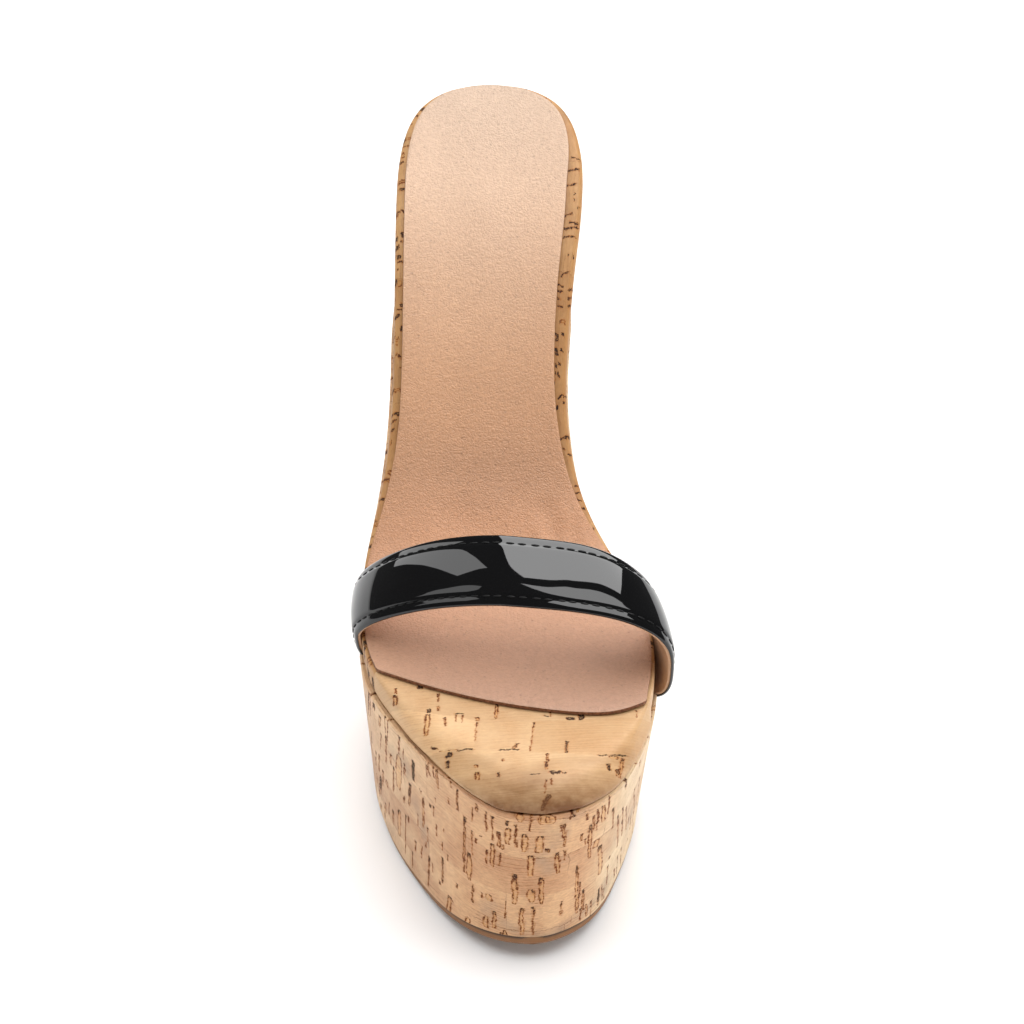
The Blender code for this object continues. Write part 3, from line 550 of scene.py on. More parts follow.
# Platform: the cork-covered block, its wall wrapped round from the toe
platformSet = {
    "edgeAngle": 28, "crease": 1.0, "levels": 3, "smoothAngle": 35,
    "slice": 2 * mm, "lap": 0.9 * mm, "lapFade": 6 * mm,
    "frontEnds": -20 * mm, "frontFade": 10 * mm,   # the lap fades out here, towards the arch
    # the wall narrows downwards, so its pores lean round the toe: lengths from the toe and slants there
    "leans": ([-130, -90, -60, -40, 0, 15, 30, 40, 60, 90, 130],
              [0, 0.42, 0.17, 0.1, 0, -0.1, -0.33, -0.42, -0.42, -0.2, 0]),
    "poreRoom": 0.9,
    # pores of the wall's front: across, along, half width, half length, share filled dark, slant
    "pores": [
        (-91.3, 8.5, 0.25, 2.9, 0.4, 0.45), (-84.9, 27.5, 0.12, 8.5, 0.1, 0.45), (-79.3, 13.6, 0.2, 4.5, 0.2, 0.36),
        (-78.6, 27.5, 0.2, 4.2, 0.1, 0.38), (-73.9, 9.7, 0.4, 4.8, 0.1, 0.31), (-72.2, 25.1, 0.5, 4.3, 0, 0.30),
        (-69.1, 50.5, 0.5, 2.9, 0, 0.26), (-68.9, 15.5, 0.1, 3.6, 0.1, 0.28), (-66.0, 42.2, 0.4, 6.6, 0, 0.18),
        (-65.6, 14.7, 0.3, 3.5, 0.3, 0.12), (-64.8, 52.8, 0.1, 3.7, 0.1, 0.08), (-63.0, 41.0, 0.3, 2.5, 0.1, 0.21),
        (-62.4, 33.5, 0.3, 6.1, 0.2, 0.17), (-60.8, 16.9, 0.9, 6.5, 0.05, 0.17), (-58.1, 39.8, 1.6, 7.6, 0.05, 0.16),
        (-56.7, 15.9, 0.15, 9.8, 0.3, 0.14), (-56.4, 51.8, 0.12, 4.2, 0.1, 0.13), (-55.8, 31.0, 0.2, 1.9, 0.3, 0.20),
        (-51.9, 36.2, 0.45, 5.1, 0.6, 0.15), (-50.3, 16.6, 0.1, 2.7, 0.1, 0.15), (-48.8, 48.1, 0.75, 4.3, 1, 0.07),
        (-47.9, 29.4, 0.06, 2.7, 0, 0.04), (-46.5, 17.8, 0.1, 2.8, 0, 0.13), (-45.1, 42.9, 0.3, 0.7, 0.4, -0.04),
        (-44.3, 35.6, 0.38, 6.3, 0.05, 0.07), (-42.7, 13.3, 0.22, 6.9, 0.1, 0.10), (-42.4, 28.2, 0.06, 3.0, 0, 0.05),
        (-41.5, 54.1, 0.12, 2.6, 0.1, 0.06), (-40.5, 55.7, 0.12, 2.6, 0.1, -0.22),
        (-40.3, 16.6, 0.1, 1.9, 0.1, -0.03), (-40.3, 41.4, 0.2, 0.9, 1, 0.12), (-38.2, 56.3, 0.12, 1.9, 0.1, -0.08),
        (-37.7, 34.1, 0.05, 2.5, 0, 0.03), (-37.6, 45.7, 0.05, 1.1, 0, 0.01), (-36.7, 14.0, 0.3, 0.8, 0.8, 0.01),
        (-36.5, 54.9, 0.45, 3.6, 0, -0.09), (-35.0, 20.3, 0.3, 5.4, 0.5, 0.03), (-34.0, 36.8, 0.3, 0.8, 0.6, 0.05),
        (-32.5, 27.4, 0.12, 1.3, 0.4, 0.11), (-31.5, 50.3, 0.05, 1.2, 0, -0.06), (-30.6, 11.5, 0.1, 0.5, 0, -0.44),
        (-30.5, 57.4, 0.12, 1.2, 0.3, -0.17), (-28.7, 19.3, 0.1, 0.9, 0.2, 0.02), (-27.7, 53.7, 0.22, 4.3, 0.3, 0.03),
        (-25.2, 38.2, 0.3, 11.4, 0.16, 0.04), (-23.5, 30.9, 0.95, 5.6, 0.2, 0.04),
        (-22.4, 21.0, 0.18, 3.9, 0.3, 0.06), (-22.2, 41.1, 0.1, 5.0, 0.1, 0.01), (-20.7, 43.0, 0.12, 1.1, 0.1, -0.02),
        (-20.1, 56.0, 0.2, 1.5, 0.3, -0.11), (-19.3, 22.3, 0.08, 1.1, 0, -0.01), (-18.7, 46.1, 0.3, 0.2, 0.5, 0.37),
        (-17.0, 39.2, 0.08, 3.2, 0, 0.06), (-16.8, 52.7, 0.1, 4.2, 0, 0.03), (-15.4, 13.7, 0.5, 3.8, 0.1, 0.07),
        (-15.0, 40.9, 0.55, 4.7, 0.12, 0.06), (-14.7, 51.6, 0.1, 5.2, 0, 0.02), (-12.7, 48.2, 0.35, 3.2, 0, 0.01),
        (-12.5, 47.8, 0.1, 1.2, 0, -0.06), (-11.7, 45.8, 0.35, 1.0, 0.3, 0.01), (-11.4, 19.6, 0.14, 4.0, 0.1, 0.08),
        (-10.4, 55.9, 0.3, 1.1, 1, -0.08), (-9.9, 50.7, 0.7, 3.5, 0, 0.05), (-8.2, 29.3, 0.7, 6.6, 0.28, -0.00),
        (-7.7, 51.1, 0.12, 4.8, 0.1, 0.00), (-6.5, 58.8, 0.75, 2.0, 0.35, 0.12), (-6.3, 15.7, 0.55, 5.8, 0.08, 0.00),
        (-5.4, 48.7, 0.75, 3.8, 0, 0.03), (-3.8, 39.7, 0.8, 4.4, 0, 0.02), (-3.2, 16.2, 0.14, 6.1, 0.1, 0.02),
        (-2.4, 45.9, 0.1, 1.1, 0.2, 0.02), (-1.3, 48.3, 0.95, 3.6, 0, 0.01), (-1.1, 57.9, 0.1, 1.3, 0.2, -0.08),
        (-0.7, 28.8, 0.75, 5.9, 0.12, 0.01), (0.5, 58.2, 2.3, 2.0, 0, -0.03), (0.9, 58.2, 0.5, 1.3, 0, 0.01),
        (1.1, 45.5, 0.3, 1.0, 0.6, -0.14), (3.2, 42.5, 0.1, 1.5, 0, -0.01), (4.0, 39.8, 0.55, 4.6, 0, -0.05),
        (4.6, 54.4, 0.08, 1.4, 0.1, -0.02), (5.5, 51.2, 0.3, 5.1, 0, -0.05), (5.8, 19.1, 0.16, 3.4, 0.3, -0.01),
        (7.1, 58.9, 0.25, 1.9, 0.5, 0.16), (8.0, 58.4, 0.3, 0.7, 0.8, -0.28), (9.2, 60.0, 0.3, 0.9, 0.4, 0.29),
        (11.2, 47.7, 0.3, 1.6, 0.3, -0.01), (11.7, 24.7, 0.6, 11.7, 0.25, -0.12), (12.2, 55.4, 0.15, 1.6, 0.2, 0.00),
        (12.8, 44.8, 0.1, 1.6, 0.2, -0.08), (13.0, 24.3, 0.1, 3.2, 0.1, -0.07), (14.5, 43.5, 0.5, 7.7, 0, -0.10),
        (14.8, 11.6, 0.15, 3.1, 0.1, -0.06), (15.1, 51.1, 0.3, 3.6, 0, -0.10), (15.1, 17.8, 0.35, 5.4, 0, -0.12),
        (16.2, 53.5, 0.15, 3.0, 0.1, -0.15), (16.4, 49.0, 0.1, 1.9, 0, -0.09), (17.5, 11.5, 0.55, 3.2, 0.1, -0.20),
        (18.4, 52.7, 0.7, 3.9, 0.05, -0.14), (20.1, 55.2, 0.2, 4.2, 0.1, -0.06), (20.7, 31.4, 0.95, 7.5, 0.15, -0.20),
        (23.8, 46.5, 0.25, 5.3, 0, -0.21), (27.1, 12.1, 0.1, 4.9, 0.1, -0.33), (27.4, 27.0, 0.3, 0.8, 1, -0.18),
        (30.3, 35.5, 0.3, 9.8, 0, -0.35), (34.7, 32.8, 0.35, 5.2, 0, -0.39), (37.6, 11.0, 0.4, 3.5, 0, -0.45),
        (37.9, 33.5, 0.1, 9.1, 0.1, -0.45), (44.4, 9.7, 0.1, 5.1, 0.1, -0.45), (46.0, 33.4, 0.1, 3.9, 0.1, -0.45),
        (59.7, 8.3, 0.1, 4.2, 0.1, -0.45),
    ],
}


def atFront(points):
    return ramp(points[:, 1], platformSet["frontEnds"], -platformSet["frontFade"])


corkWall = smoothCopy("platform", "corkWall", platformSet)
shadeSmooth(corkWall, platformSet["smoothAngle"])
points = pointsOf(corkWall)
# the veneer laps over the sole's upper edge, so that less of the sole shows
slices = np.round(points[:, 1] / platformSet["slice"]).astype(int)
wallFoot = [platformSet["slice"] * np.unique(slices),
            [points[slices == one, 2].min() for one in np.unique(slices)]]
high = points[:, 2] - np.interp(points[:, 1], *wallFoot)
points[:, 2] -= platformSet["lap"] * np.clip(1 - high / platformSet["lapFade"], 0, 1) * atFront(points)
movePoints(corkWall, points)
wallRing, ringLength = planOutline(points)
index, gap = nearestOn(wallRing, points)
wallUv = np.stack([ringLength[index], points[:, 2]], axis=1)
topUv = np.stack([ringLength[index], points[:, 2] + gap], axis=1)
cornerUv = []
for face in corkWall.data.polygons:
    chosen = topUv if face.normal.z > 0.7 else wallUv
    cornerUv.extend(aroundBack([chosen[v] for v in face.vertices], np.ptp(ringLength)))
setUv(corkWall, cornerUv)
wallPores = scatterPores(3, (-200, 200), (4, 116), wallSpread)
wallPores = [(*pore[:5], pore[5] + np.interp(pore[0], *platformSet["leans"])) for pore in wallPores]
wallPores = clearOf(wallPores, platformSet["pores"], platformSet["poreRoom"])
spreadPores(corkWall, cornerUv, platformSet["pores"] + wallPores)
wear(corkWall, "platform", "cork", wallCork)
print("stage: platform,", len(corkWall.data.polygons), "faces")

# Footbed: one sheet of cork over the toe, and a narrow strip of it wrapped round the rest of the edge
footbedSet = {
    "edgeAngle": 40, "crease": 0.8, "levels": 3, "smoothAngle": 45, "sheetEnds": -56.0 * mm,
    "toeTop": 69.0 * mm, "toeSlope": 0.0875, "rollShare": 0.8,
    # the roll is pushed out from a middle to hang over the wall: where it starts, and over what it fades
    "middle": (5.0 * mm, -60.0 * mm), "overhang": 0.3 * mm, "mostPush": 2.2 * mm,
    "rollFrom": 65.0 * mm, "rollFade": 4 * mm, "rollOuter": -27.0 * mm, "outerFade": 12 * mm, "outerLeast": 0.2,
    "rollEnds": -70 * mm, "endFade": 6 * mm, "rollDepth": 3 * mm,
    "stripShift": 200 * mm,   # the strip is laid off past the sheet, so that neither takes the other's pores
    # pores and joints of the toe's sheet, as on the wall
    "pores": [
        (-26.3, 46.4, 0.55, 1.0, 1, 0.02), (-33.3, 41.6, 0.5, 2.0, 0.3, 0.01), (-33.1, 45.1, 0.05, 1.2, 0, 0.01),
        (-21.4, 41.3, 0.1, 2.0, 0.4, 0.03), (-21.6, 36.8, 0.2, 1.3, 0.2, 0.03), (-24.1, 35.8, 0.5, 0.8, 1, 0.02),
        (-24.8, 30.3, 0.6, 4.3, 0.05, 0.09), (-19.9, 30.9, 0.1, 1.8, 0.2, -0.04), (-15.8, 34.0, 1.04, 0.25, 1, 0.0),
        (-16.8, 32.0, -0.05, 1.6, 0, 0.03), (-15.0, 31.8, -0.05, 1.6, 0, 0.07), (-10.9, 31.5, 0.3, 0.9, 0.2, 0.04),
        (-11.6, 26.2, -0.1, 4.0, 0, 0.11), (-10.5, 40.3, 0.74, 0.35, 1, 0.0), (-5.6, 34.5, 0.35, 3.3, 0.15, 0.07),
        (3.5, 23.1, -0.1, 6.2, 0, 0.15), (7.9, 31.6, 0.74, 0.25, 1, 0.0), (9.0, 32.6, -0.05, 1.3, 0, 0.07),
        (14.5, 30.1, 0.95, 0.6, 1, 0.0), (17.4, 30.8, 0.75, 1.5, 1, 0.04), (32.7, 31.3, -0.05, 1.4, 0, 0.09),
        (12.6, 18.1, 0.2, 2.5, 1, 0.17), (-1.2, 19.2, 0.35, 1.2, 0.6, 0.61), (-22.7, 20.9, 0.45, 0.7, 0.8, -0.9),
        (-14.6, 18.8, 2.28, 0.25, 1, 0.0), (-19.2, 19.3, 2.27, 0.25, 0.2, 0.0), (-3.2, 17.8, 2.67, 0.25, 1, 0.0),
        (22.2, 14.3, 1.22, 0.25, 1, 0.0), (26.6, 14.5, 2.58, 0.25, 1, 0.0), (-19.1, 17.4, 0.6, 1.3, 1, 0.15),
        (-19.6, 14.2, 0.35, 1.4, 1, 0.02), (-12.0, 11.9, 0.3, 0.6, 0.3, 0.03), (-11.9, 8.3, 0.5, 1.6, 0.0, -0.01),
        (-4.9, 13.6, 0.1, 0.7, 0.3, 0.05), (-6.2, 8.0, 0.25, 0.8, 1, -0.17), (7.1, 14.1, 0.2, 1.6, 0.4, 0.03),
        (6.6, 10.8, 0.2, 1.8, 0.6, 0.0), (8.8, 7.7, 1.51, 0.75, 1, 0.0), (11.1, 7.5, 0.32, 0.25, 1, 0.0),
        (3.4, 7.3, 1.5, 0.2, 1, 0.0), (7.6, 4.3, -0.02, 1.3, 0, 0.04), (6.0, 2.7, -0.05, 2.5, 0, 0.08),
        (5.8, -3.0, 0.6, 2.6, 1, 0.4), (24.9, 13.5, 1.21, 0.6, 0.25, 0.0), (23.5, 9.8, 0.3, 1.4, 1, 0.0),
        (26.9, 9.9, 0.35, 3.9, 0.2, 0.15), (25.7, 8.0, 0.4, 1.4, 0.6, 0.05),
    ],
    # and of the strip along the arch and the heel, inner side
    "stripPores": [
        (262.0, -197.4, 1.27, 0.35, 1, 0.0), (238.4, -198.3, 0.2, 1.7, 1, 0.12), (234.3, -197.6, 0.24, 2.2, 1, -0.22),
        (228.9, -196.6, 0.12, 1.8, 1, -0.31), (225.8, -197.4, 0.3, 0.25, 1, 0.0), (223.9, -197.5, 0.3, 0.25, 1, 0.0),
        (221.4, -199.0, 0.25, 0.3, 1, 0.48), (218.6, -195.9, 0.12, 1.5, 1, -0.4), (221.9, -199.6, 0.2, 0.7, 1, -0.1),
        (216.3, -198.2, 0.16, 2.2, 1, -0.1), (214.7, -197.9, 0.14, 3.3, 1, -0.31),
        (211.6, -197.4, 0.12, 2.6, 1, -0.2), (205.7, -197.0, 0.3, 0.25, 1, 0.0), (206.6, -199.0, 0.2, 0.4, 1, 0.15),
        (205.5, -199.3, 0.2, 0.4, 1, 0.13), (200.2, -197.2, 0.1, 1.7, 1, -0.7), (196.1, -195.7, 0.18, 1.3, 1, 0.13),
        (194.2, -195.6, 0.15, 1.0, 0.8, 0.05), (192.0, -195.6, 0.25, 0.9, 0.7, 0.02),
        (189.7, -195.9, 0.2, 0.9, 0.8, 0.0), (196.4, -200.7, 0.18, 2.2, 1, -0.64),
        (194.3, -201.0, 0.2, 2.8, 0.7, -0.66), (191.9, -201.2, 0.2, 2.3, 0.8, -0.67),
        (185.4, -197.7, 0.3, 1.2, 0.2, -0.1), (181.4, -195.9, 0.45, 0.8, 1, 0.13),
        (181.5, -198.3, 0.35, 0.9, 1, 0.38), (180.0, -196.0, 0.25, 0.7, 1, 0.2), (176.9, -196.0, 0.5, 0.7, 1, 0.08),
        (176.8, -197.9, 0.4, 0.7, 1, 0.51), (175.7, -196.3, 0.3, 0.6, 1, 0.13), (172.0, -196.0, 0.4, 0.4, 1, 0.83),
        (172.4, -197.1, 0.4, 0.5, 1, 0.69), (169.8, -196.0, 0.35, 0.4, 1, 0.9), (169.4, -197.2, 0.35, 0.6, 1, 0.79),
        (168.0, -196.6, 0.3, 0.3, 1, 0.75), (165.3, -201.6, 0.14, 2.5, 1, -0.34),
        (163.2, -201.3, 0.25, 0.9, 1, -0.09), (161.9, -198.6, 0.36, 0.3, 1, 0.0),
        (153.4, -201.7, 0.28, 3.1, 1, -0.24), (149.5, -199.4, 0.2, 0.5, 0.6, 0.82),
        (147.7, -198.7, 0.25, 0.3, 1, 0.9), (148.0, -201.6, 0.25, 1.4, 1, -0.2),
        (138.1, -200.6, 0.12, 1.4, 0.8, -0.07), (135.9, -200.5, 0.14, 2.1, 1, -0.08),
        (133.5, -199.1, 0.12, 1.0, 1, 0.5), (130.9, -199.2, 0.14, 0.7, 1, 0.76), (124.1, -198.9, 0.16, 0.7, 1, 0.9),
        (121.2, -198.1, 0.14, 0.5, 1, 0.86), (119.2, -199.0, 0.2, 0.3, 1, 0.9),
    ],
    "stripCharted": (116, 266),
}

corkBed = smoothCopy("footbed", "corkBed", footbedSet)
shadeSmooth(corkBed, footbedSet["smoothAngle"])
points = pointsOf(corkBed)
ring, ringLength = planOutline(points)
index, gap = nearestOn(ring, points)
# the roll hangs a little over the wall round the front and the inner side
outward = points[:, :2] - np.array(footbedSet["middle"])
outward /= np.linalg.norm(outward, axis=1)[:, None]
low = ramp(points[:, 2], footbedSet["rollFrom"], -footbedSet["rollFade"])
low *= np.clip((points[:, 0] - footbedSet["rollOuter"]) / footbedSet["outerFade"], footbedSet["outerLeast"], 1)
low *= ramp(points[:, 1], footbedSet["rollEnds"], -footbedSet["endFade"])
low *= np.clip(1 - gap / footbedSet["rollDepth"], 0, 1)
wallIndex, _ = nearestOn(wallRing, points)
short = ((wallRing[wallIndex, :2] - points[:, :2]) * outward).sum(axis=1)
points[:, :2] += outward * (low * np.clip(short + footbedSet["overhang"], 0, footbedSet["mostPush"]))[:, None]
movePoints(corkBed, points)
fromToe = points[:, 1] - points[:, 1].min()
drop = np.minimum(points[:, 2] - (footbedSet["toeTop"] - footbedSet["toeSlope"] * fromToe), 0)
sheetUv = np.stack([points[:, 0], fromToe + footbedSet["rollShare"] * drop], axis=1)
stripUv = np.stack([ringLength[index], gap + points[:, 2] - ring[index, 2] - footbedSet["stripShift"]], axis=1)
cornerUv = []
for face in corkBed.data.polygons:
    onSheet = face.center.y < footbedSet["sheetEnds"]
    face.material_index = 0 if onSheet else 1
    corners = [(sheetUv if onSheet else stripUv)[v] for v in face.vertices]
    cornerUv.extend(corners if onSheet else aroundBack(corners, np.ptp(ringLength)))
setUv(corkBed, cornerUv)
first, last = footbedSet["stripCharted"]
stripPores = scatterPores(11, (-320, 320), (-211, -193), stripSpread)
stripPores = [pore for pore in stripPores if not first < pore[0] < last]
spreadPores(corkBed, cornerUv, footbedSet["pores"] + footbedSet["stripPores"] + stripPores)
wear(corkBed, "footbed", "cork", sheetCork, stripCork)
print("stage: footbed,", len(corkBed.data.polygons), "faces")

# Insole leather: pale unlined hide, matt, pebbled, with open pores; its cut edge is bare brown fibre
sockSet = {
    "edgeAngle": 40, "crease": 0.75, "levels": 3, "smoothAngle": 50,
    # share of the length from the toe, tone: partly the hide's own tan, deepest near the ball, partly painted shade,
    # darkest in front where the strap shades the sock
    "tones": [(0.0, "#9E7B66"), (1.0, "#B39983"), (0.25, "#A77D60"), (0.42, "#A1724E"), (0.6, "#B48865"),
              (0.8, "#BB9A7F")],
    "tonesFrom": -90 * mm, "tonesTo": 110 * mm,
    "pebble": 0.95, "pore": 2.6, "grain": 1.1,   # mm from one to the next
    "bend": (2.5, 1.6),   # size of the wobble in the pebble, and how far it goes, in mm
    # the front edge turns back at the inner corner: how far, and where that starts and is full
    "cornerBack": 3.2 * mm, "cornerOut": 0.6 * mm, "cornerX": (24 * mm, 13 * mm), "cornerY": (-62 * mm, -14 * mm),
    # soft folds pressed in by the foot: both ends (x, y), half width and depth, in mm
    "folds": [
        ((17.0, -14.0), (13.0, -1.0), 2.6, 0.55), ((22.0, -16.0), (19.5, -5.0), 2.0, 0.45),
        ((9.0, -17.0), (7.0, -8.0), 2.2, 0.25), ((-15.0, -4.0), (2.0, -9.0), 5.0, 0.35),
        ((-17.0, 4.0), (-13.0, 60.0), 7.0, 0.45), ((-13.0, 60.0), (-14.0, 88.0), 6.0, 0.25),
    ],
    "row": 10 * mm,   # stretch that shares one slope of its top
    "rawEdge": {"tones": ("#4F2E1B", "#85583B"), "size": 0.7, "detail": 3.0, "fray": 0.7, "spread": (0.35, 0.65),
                "relief": (0.6, 0.15), "surface": {"Roughness": 0.85}},
}

sockLeather, tree, shader = newMaterial("paleCalfLeather")
at = addNode(tree, "TexCoord", out="Object")
bend = addNode(tree, "TexNoise", {"Vector": at, "Scale": 1 / (sockSet["bend"][0] * mm), "Detail": 2.0}, "Color")
bend = addNode(tree, "VectorMath.SCALE", {0: bend, "Scale": sockSet["bend"][1] * mm})
bent = addNode(tree, "VectorMath.ADD", [at, bend])
pebble = addNode(tree, "TexVoronoi", {"Vector": bent, "Scale": 1 / (sockSet["pebble"] * mm)}, "Distance",
                 feature="DISTANCE_TO_EDGE")
pebble = addNode(tree, "MapRange", [pebble, 0.0, 0.28], interpolation_type="SMOOTHSTEP")
# tone along the length: the hide's own tan, with painted shade darkest in front where the strap shades it
length = addNode(tree, "SeparateXYZ", [at], "Y")
length = addNode(tree, "MapRange", [length, sockSet["tonesFrom"], sockSet["tonesTo"]])
tones = addNode(tree, "ValToRGB", [length], None)
for step, (share, tone) in enumerate(sockSet["tones"]):
    stop = tones.color_ramp.elements[step] if step < 2 else tones.color_ramp.elements.new(share)
    stop.position = share
    stop.color = linear(tone)
clouds = addNode(tree, "TexNoise", {"Vector": at, "Scale": 28.0, "Detail": 4.0, "Roughness": 0.6})
pores = addNode(tree, "TexVoronoi", {"Vector": at, "Scale": 1 / (sockSet["pore"] * mm), "Randomness": 1.0}, "Distance",
                feature="F1")
grain = addNode(tree, "TexNoise", {"Vector": at, "Scale": 1 / (sockSet["grain"] * mm), "Detail": 3.0, "Roughness": 0.6})
colour = tones.outputs["Color"]
for pattern, *ends in ((clouds, 0.3, 0.7, 0.95, 1.05), (pores, 0.05, 0.19, 0.74), (grain, 0.3, 0.7, 0.90, 1.08)):
    gain = addNode(tree, "MapRange", [pattern, *ends])
    colour = addNode(tree, "VectorMath.SCALE", {0: colour, "Scale": gain})
relief = addNode(tree, "Math.MULTIPLY_ADD", [grain, 2.4, pebble])
feed(shader, {"Base Color": colour, "Roughness": 0.6,
              "Normal": addNode(tree, "Bump", {"Strength": 0.6, "Distance": 0.13 * mm, "Height": relief})})
rawEdge, *_ = grainyMaterial("rawLeatherEdge", sockSet["rawEdge"])  # cut fibre, unsealed and dark

insoleSock = smoothCopy("insole", "insoleSock", sockSet)
points = pointsOf(insoleSock)
topside = np.clip(pointsOf(insoleSock, "normal")[:, 2] * 4 - 2, 0, 1)
for start, stop, halfWidth, depth in sockSet["folds"]:
    start, stop = np.array(start) * mm, np.array(stop) * mm
    run = stop - start
    share = np.clip((points[:, :2] - start) @ run / (run @ run), 0, 1)
    away = np.linalg.norm(points[:, :2] - start - share[:, None] * run, axis=1) / (halfWidth * mm)
    trough = np.exp(-away ** 2) - 0.45 * np.exp(-(away - 1.7) ** 2 / 0.5)   # with a low ridge beside it
    points[:, 2] -= depth * mm * trough * np.sin(np.pi * (0.15 + 0.7 * share)) * topside
corner = ramp(points[:, 0], *sockSet["cornerX"]) ** 2 * ramp(points[:, 1], *sockSet["cornerY"])
points[:, 1] += sockSet["cornerBack"] * corner
points[:, 0] += sockSet["cornerOut"] * corner
movePoints(insoleSock, points)
shadeSmooth(insoleSock, sockSet["smoothAngle"])
normals = np.array([face.normal for face in insoleSock.data.polygons])
rows = np.array([face.center.y // sockSet["row"] for face in insoleSock.data.polygons])
cut = np.zeros(len(normals), int)
for row in np.unique(rows):   # an edge face stands square to the top beside it
    top = np.median(normals[(rows == row) & (normals[:, 2] > 0.55)], axis=0)
    cut[rows == row] = np.abs(normals[rows == row] @ top) < 0.5
insoleSock.data.polygons.foreach_set("material_index", cut)
wear(insoleSock, "insole", "insole_leather", sockLeather, rawEdge)
print("stage: insole,", len(insoleSock.data.polygons), "faces")

# Sole: a plain sheet of tan rubber, which stands back from the veneer at the front, with painted shade along its top
# edge there
soleSet = {
    "edgeAngle": 30, "crease": 1.0, "levels": 2, "smoothAngle": 35, "inset": 0.5 * mm,
    # its inner face is pressed on to the wall and the footbed up the arch
    "press": 0.9 * mm, "pressTo": (0, -0.83, 0.55), "pressFrom": -10 * mm, "pressFade": 20 * mm,
    # painted shade along the sole's top edge under the veneer: its height and tone
    "seamShade": 1.6 * mm, "seamShadeTone": "#28160C",
    "rubber": {"tones": ("#855A33", "#764E29"), "size": 0.9, "detail": 2.0, "relief": (0.15, 0.1),
               "surface": {"Roughness": 0.5}},
}

soleTan, tree, shader = grainyMaterial("tanSoleRubber", soleSet["rubber"])  # smooth sheet, barely grained
# painted shade: the top edge of the sole darkened just under the veneer
seamShade = addNode(tree, "MapRange", [addNode(tree, "Attribute", out="Fac", attribute_name="seamShaded"), 0.3, 0.9, 0.0, 0.92],
               interpolation_type="SMOOTHSTEP")
tan = shader.inputs["Base Color"].links[0].from_socket
feed(shader, {"Base Color": addNode(tree, "Mix.RGBA", {0: seamShade, 6: tan, 7: linear(soleSet["seamShadeTone"])}, 2)})

tanSole = smoothCopy("outsole", "tanSole", soleSet)
shadeSmooth(tanSole, soleSet["smoothAngle"])
points, facing = pointsOf(tanSole), pointsOf(tanSole, "normal")
front = atFront(points)
points[:, :2] -= facing[:, :2] * (soleSet["inset"] * front)[:, None]
pressTo = np.array(soleSet["pressTo"])
inner = (facing @ pressTo > 0.3) * ramp(points[:, 1], soleSet["pressFrom"], soleSet["pressFade"])
points += (soleSet["press"] * inner)[:, None] * pressTo
movePoints(tanSole, points)
below = np.interp(points[:, 1], *wallFoot) - platformSet["lap"] - points[:, 2]   # the veneer's lower edge
# how far into the painted shade each point lies, at the front only
seamShaded = tanSole.data.attributes.new("seamShaded", "FLOAT", "POINT")
seamShaded.data.foreach_set("value", np.clip(1 - below / soleSet["seamShade"], 0, 1) * front)
wear(tanSole, "outsole", "outsole_tan", soleTan)
print("stage: sole,", len(tanSole.data.polygons), "faces")

# Heel: cork on a slender core, the veneer laid in flat panels round it
heelSet = {
    "edgeAngle": 45, "crease": 0.85, "levels": 2, "smoothAngle": 45, "middle": 88 * mm, "tipAngle": 40,
    "rubber": {"tones": ("#141414", "#222222"), "size": 0.6, "detail": 2.0, "relief": (0.2, 0.1),
               "surface": {"Roughness": 0.55}},
}

corkHeel = smoothCopy("heel", "corkHeel", heelSet)
shadeSmooth(corkHeel, heelSet["smoothAngle"])
points = pointsOf(corkHeel)
cornerUv = []
for face in corkHeel.data.polygons:
    across = 1 if abs(face.normal.x) > abs(face.normal.y) else 0
    cornerUv.extend((points[v][across] - across * heelSet["middle"], points[v][2]) for v in face.vertices)
setUv(corkHeel, cornerUv)
spreadPores(corkHeel, cornerUv, scatterPores(23, (-60, 120), (6, 158), wallSpread))
wear(corkHeel, "heel", "cork", wallCork)

tipRubber, *_ = grainyMaterial("blackTopPieceRubber", heelSet["rubber"])  # hard moulded rubber, dull black
heelTip = copyOf("heel_tip", "heelTip")
shadeSmooth(heelTip, heelSet["tipAngle"])
wear(heelTip, "heel_tip", "tip_black", tipRubber)
print("stage: heel and top piece")

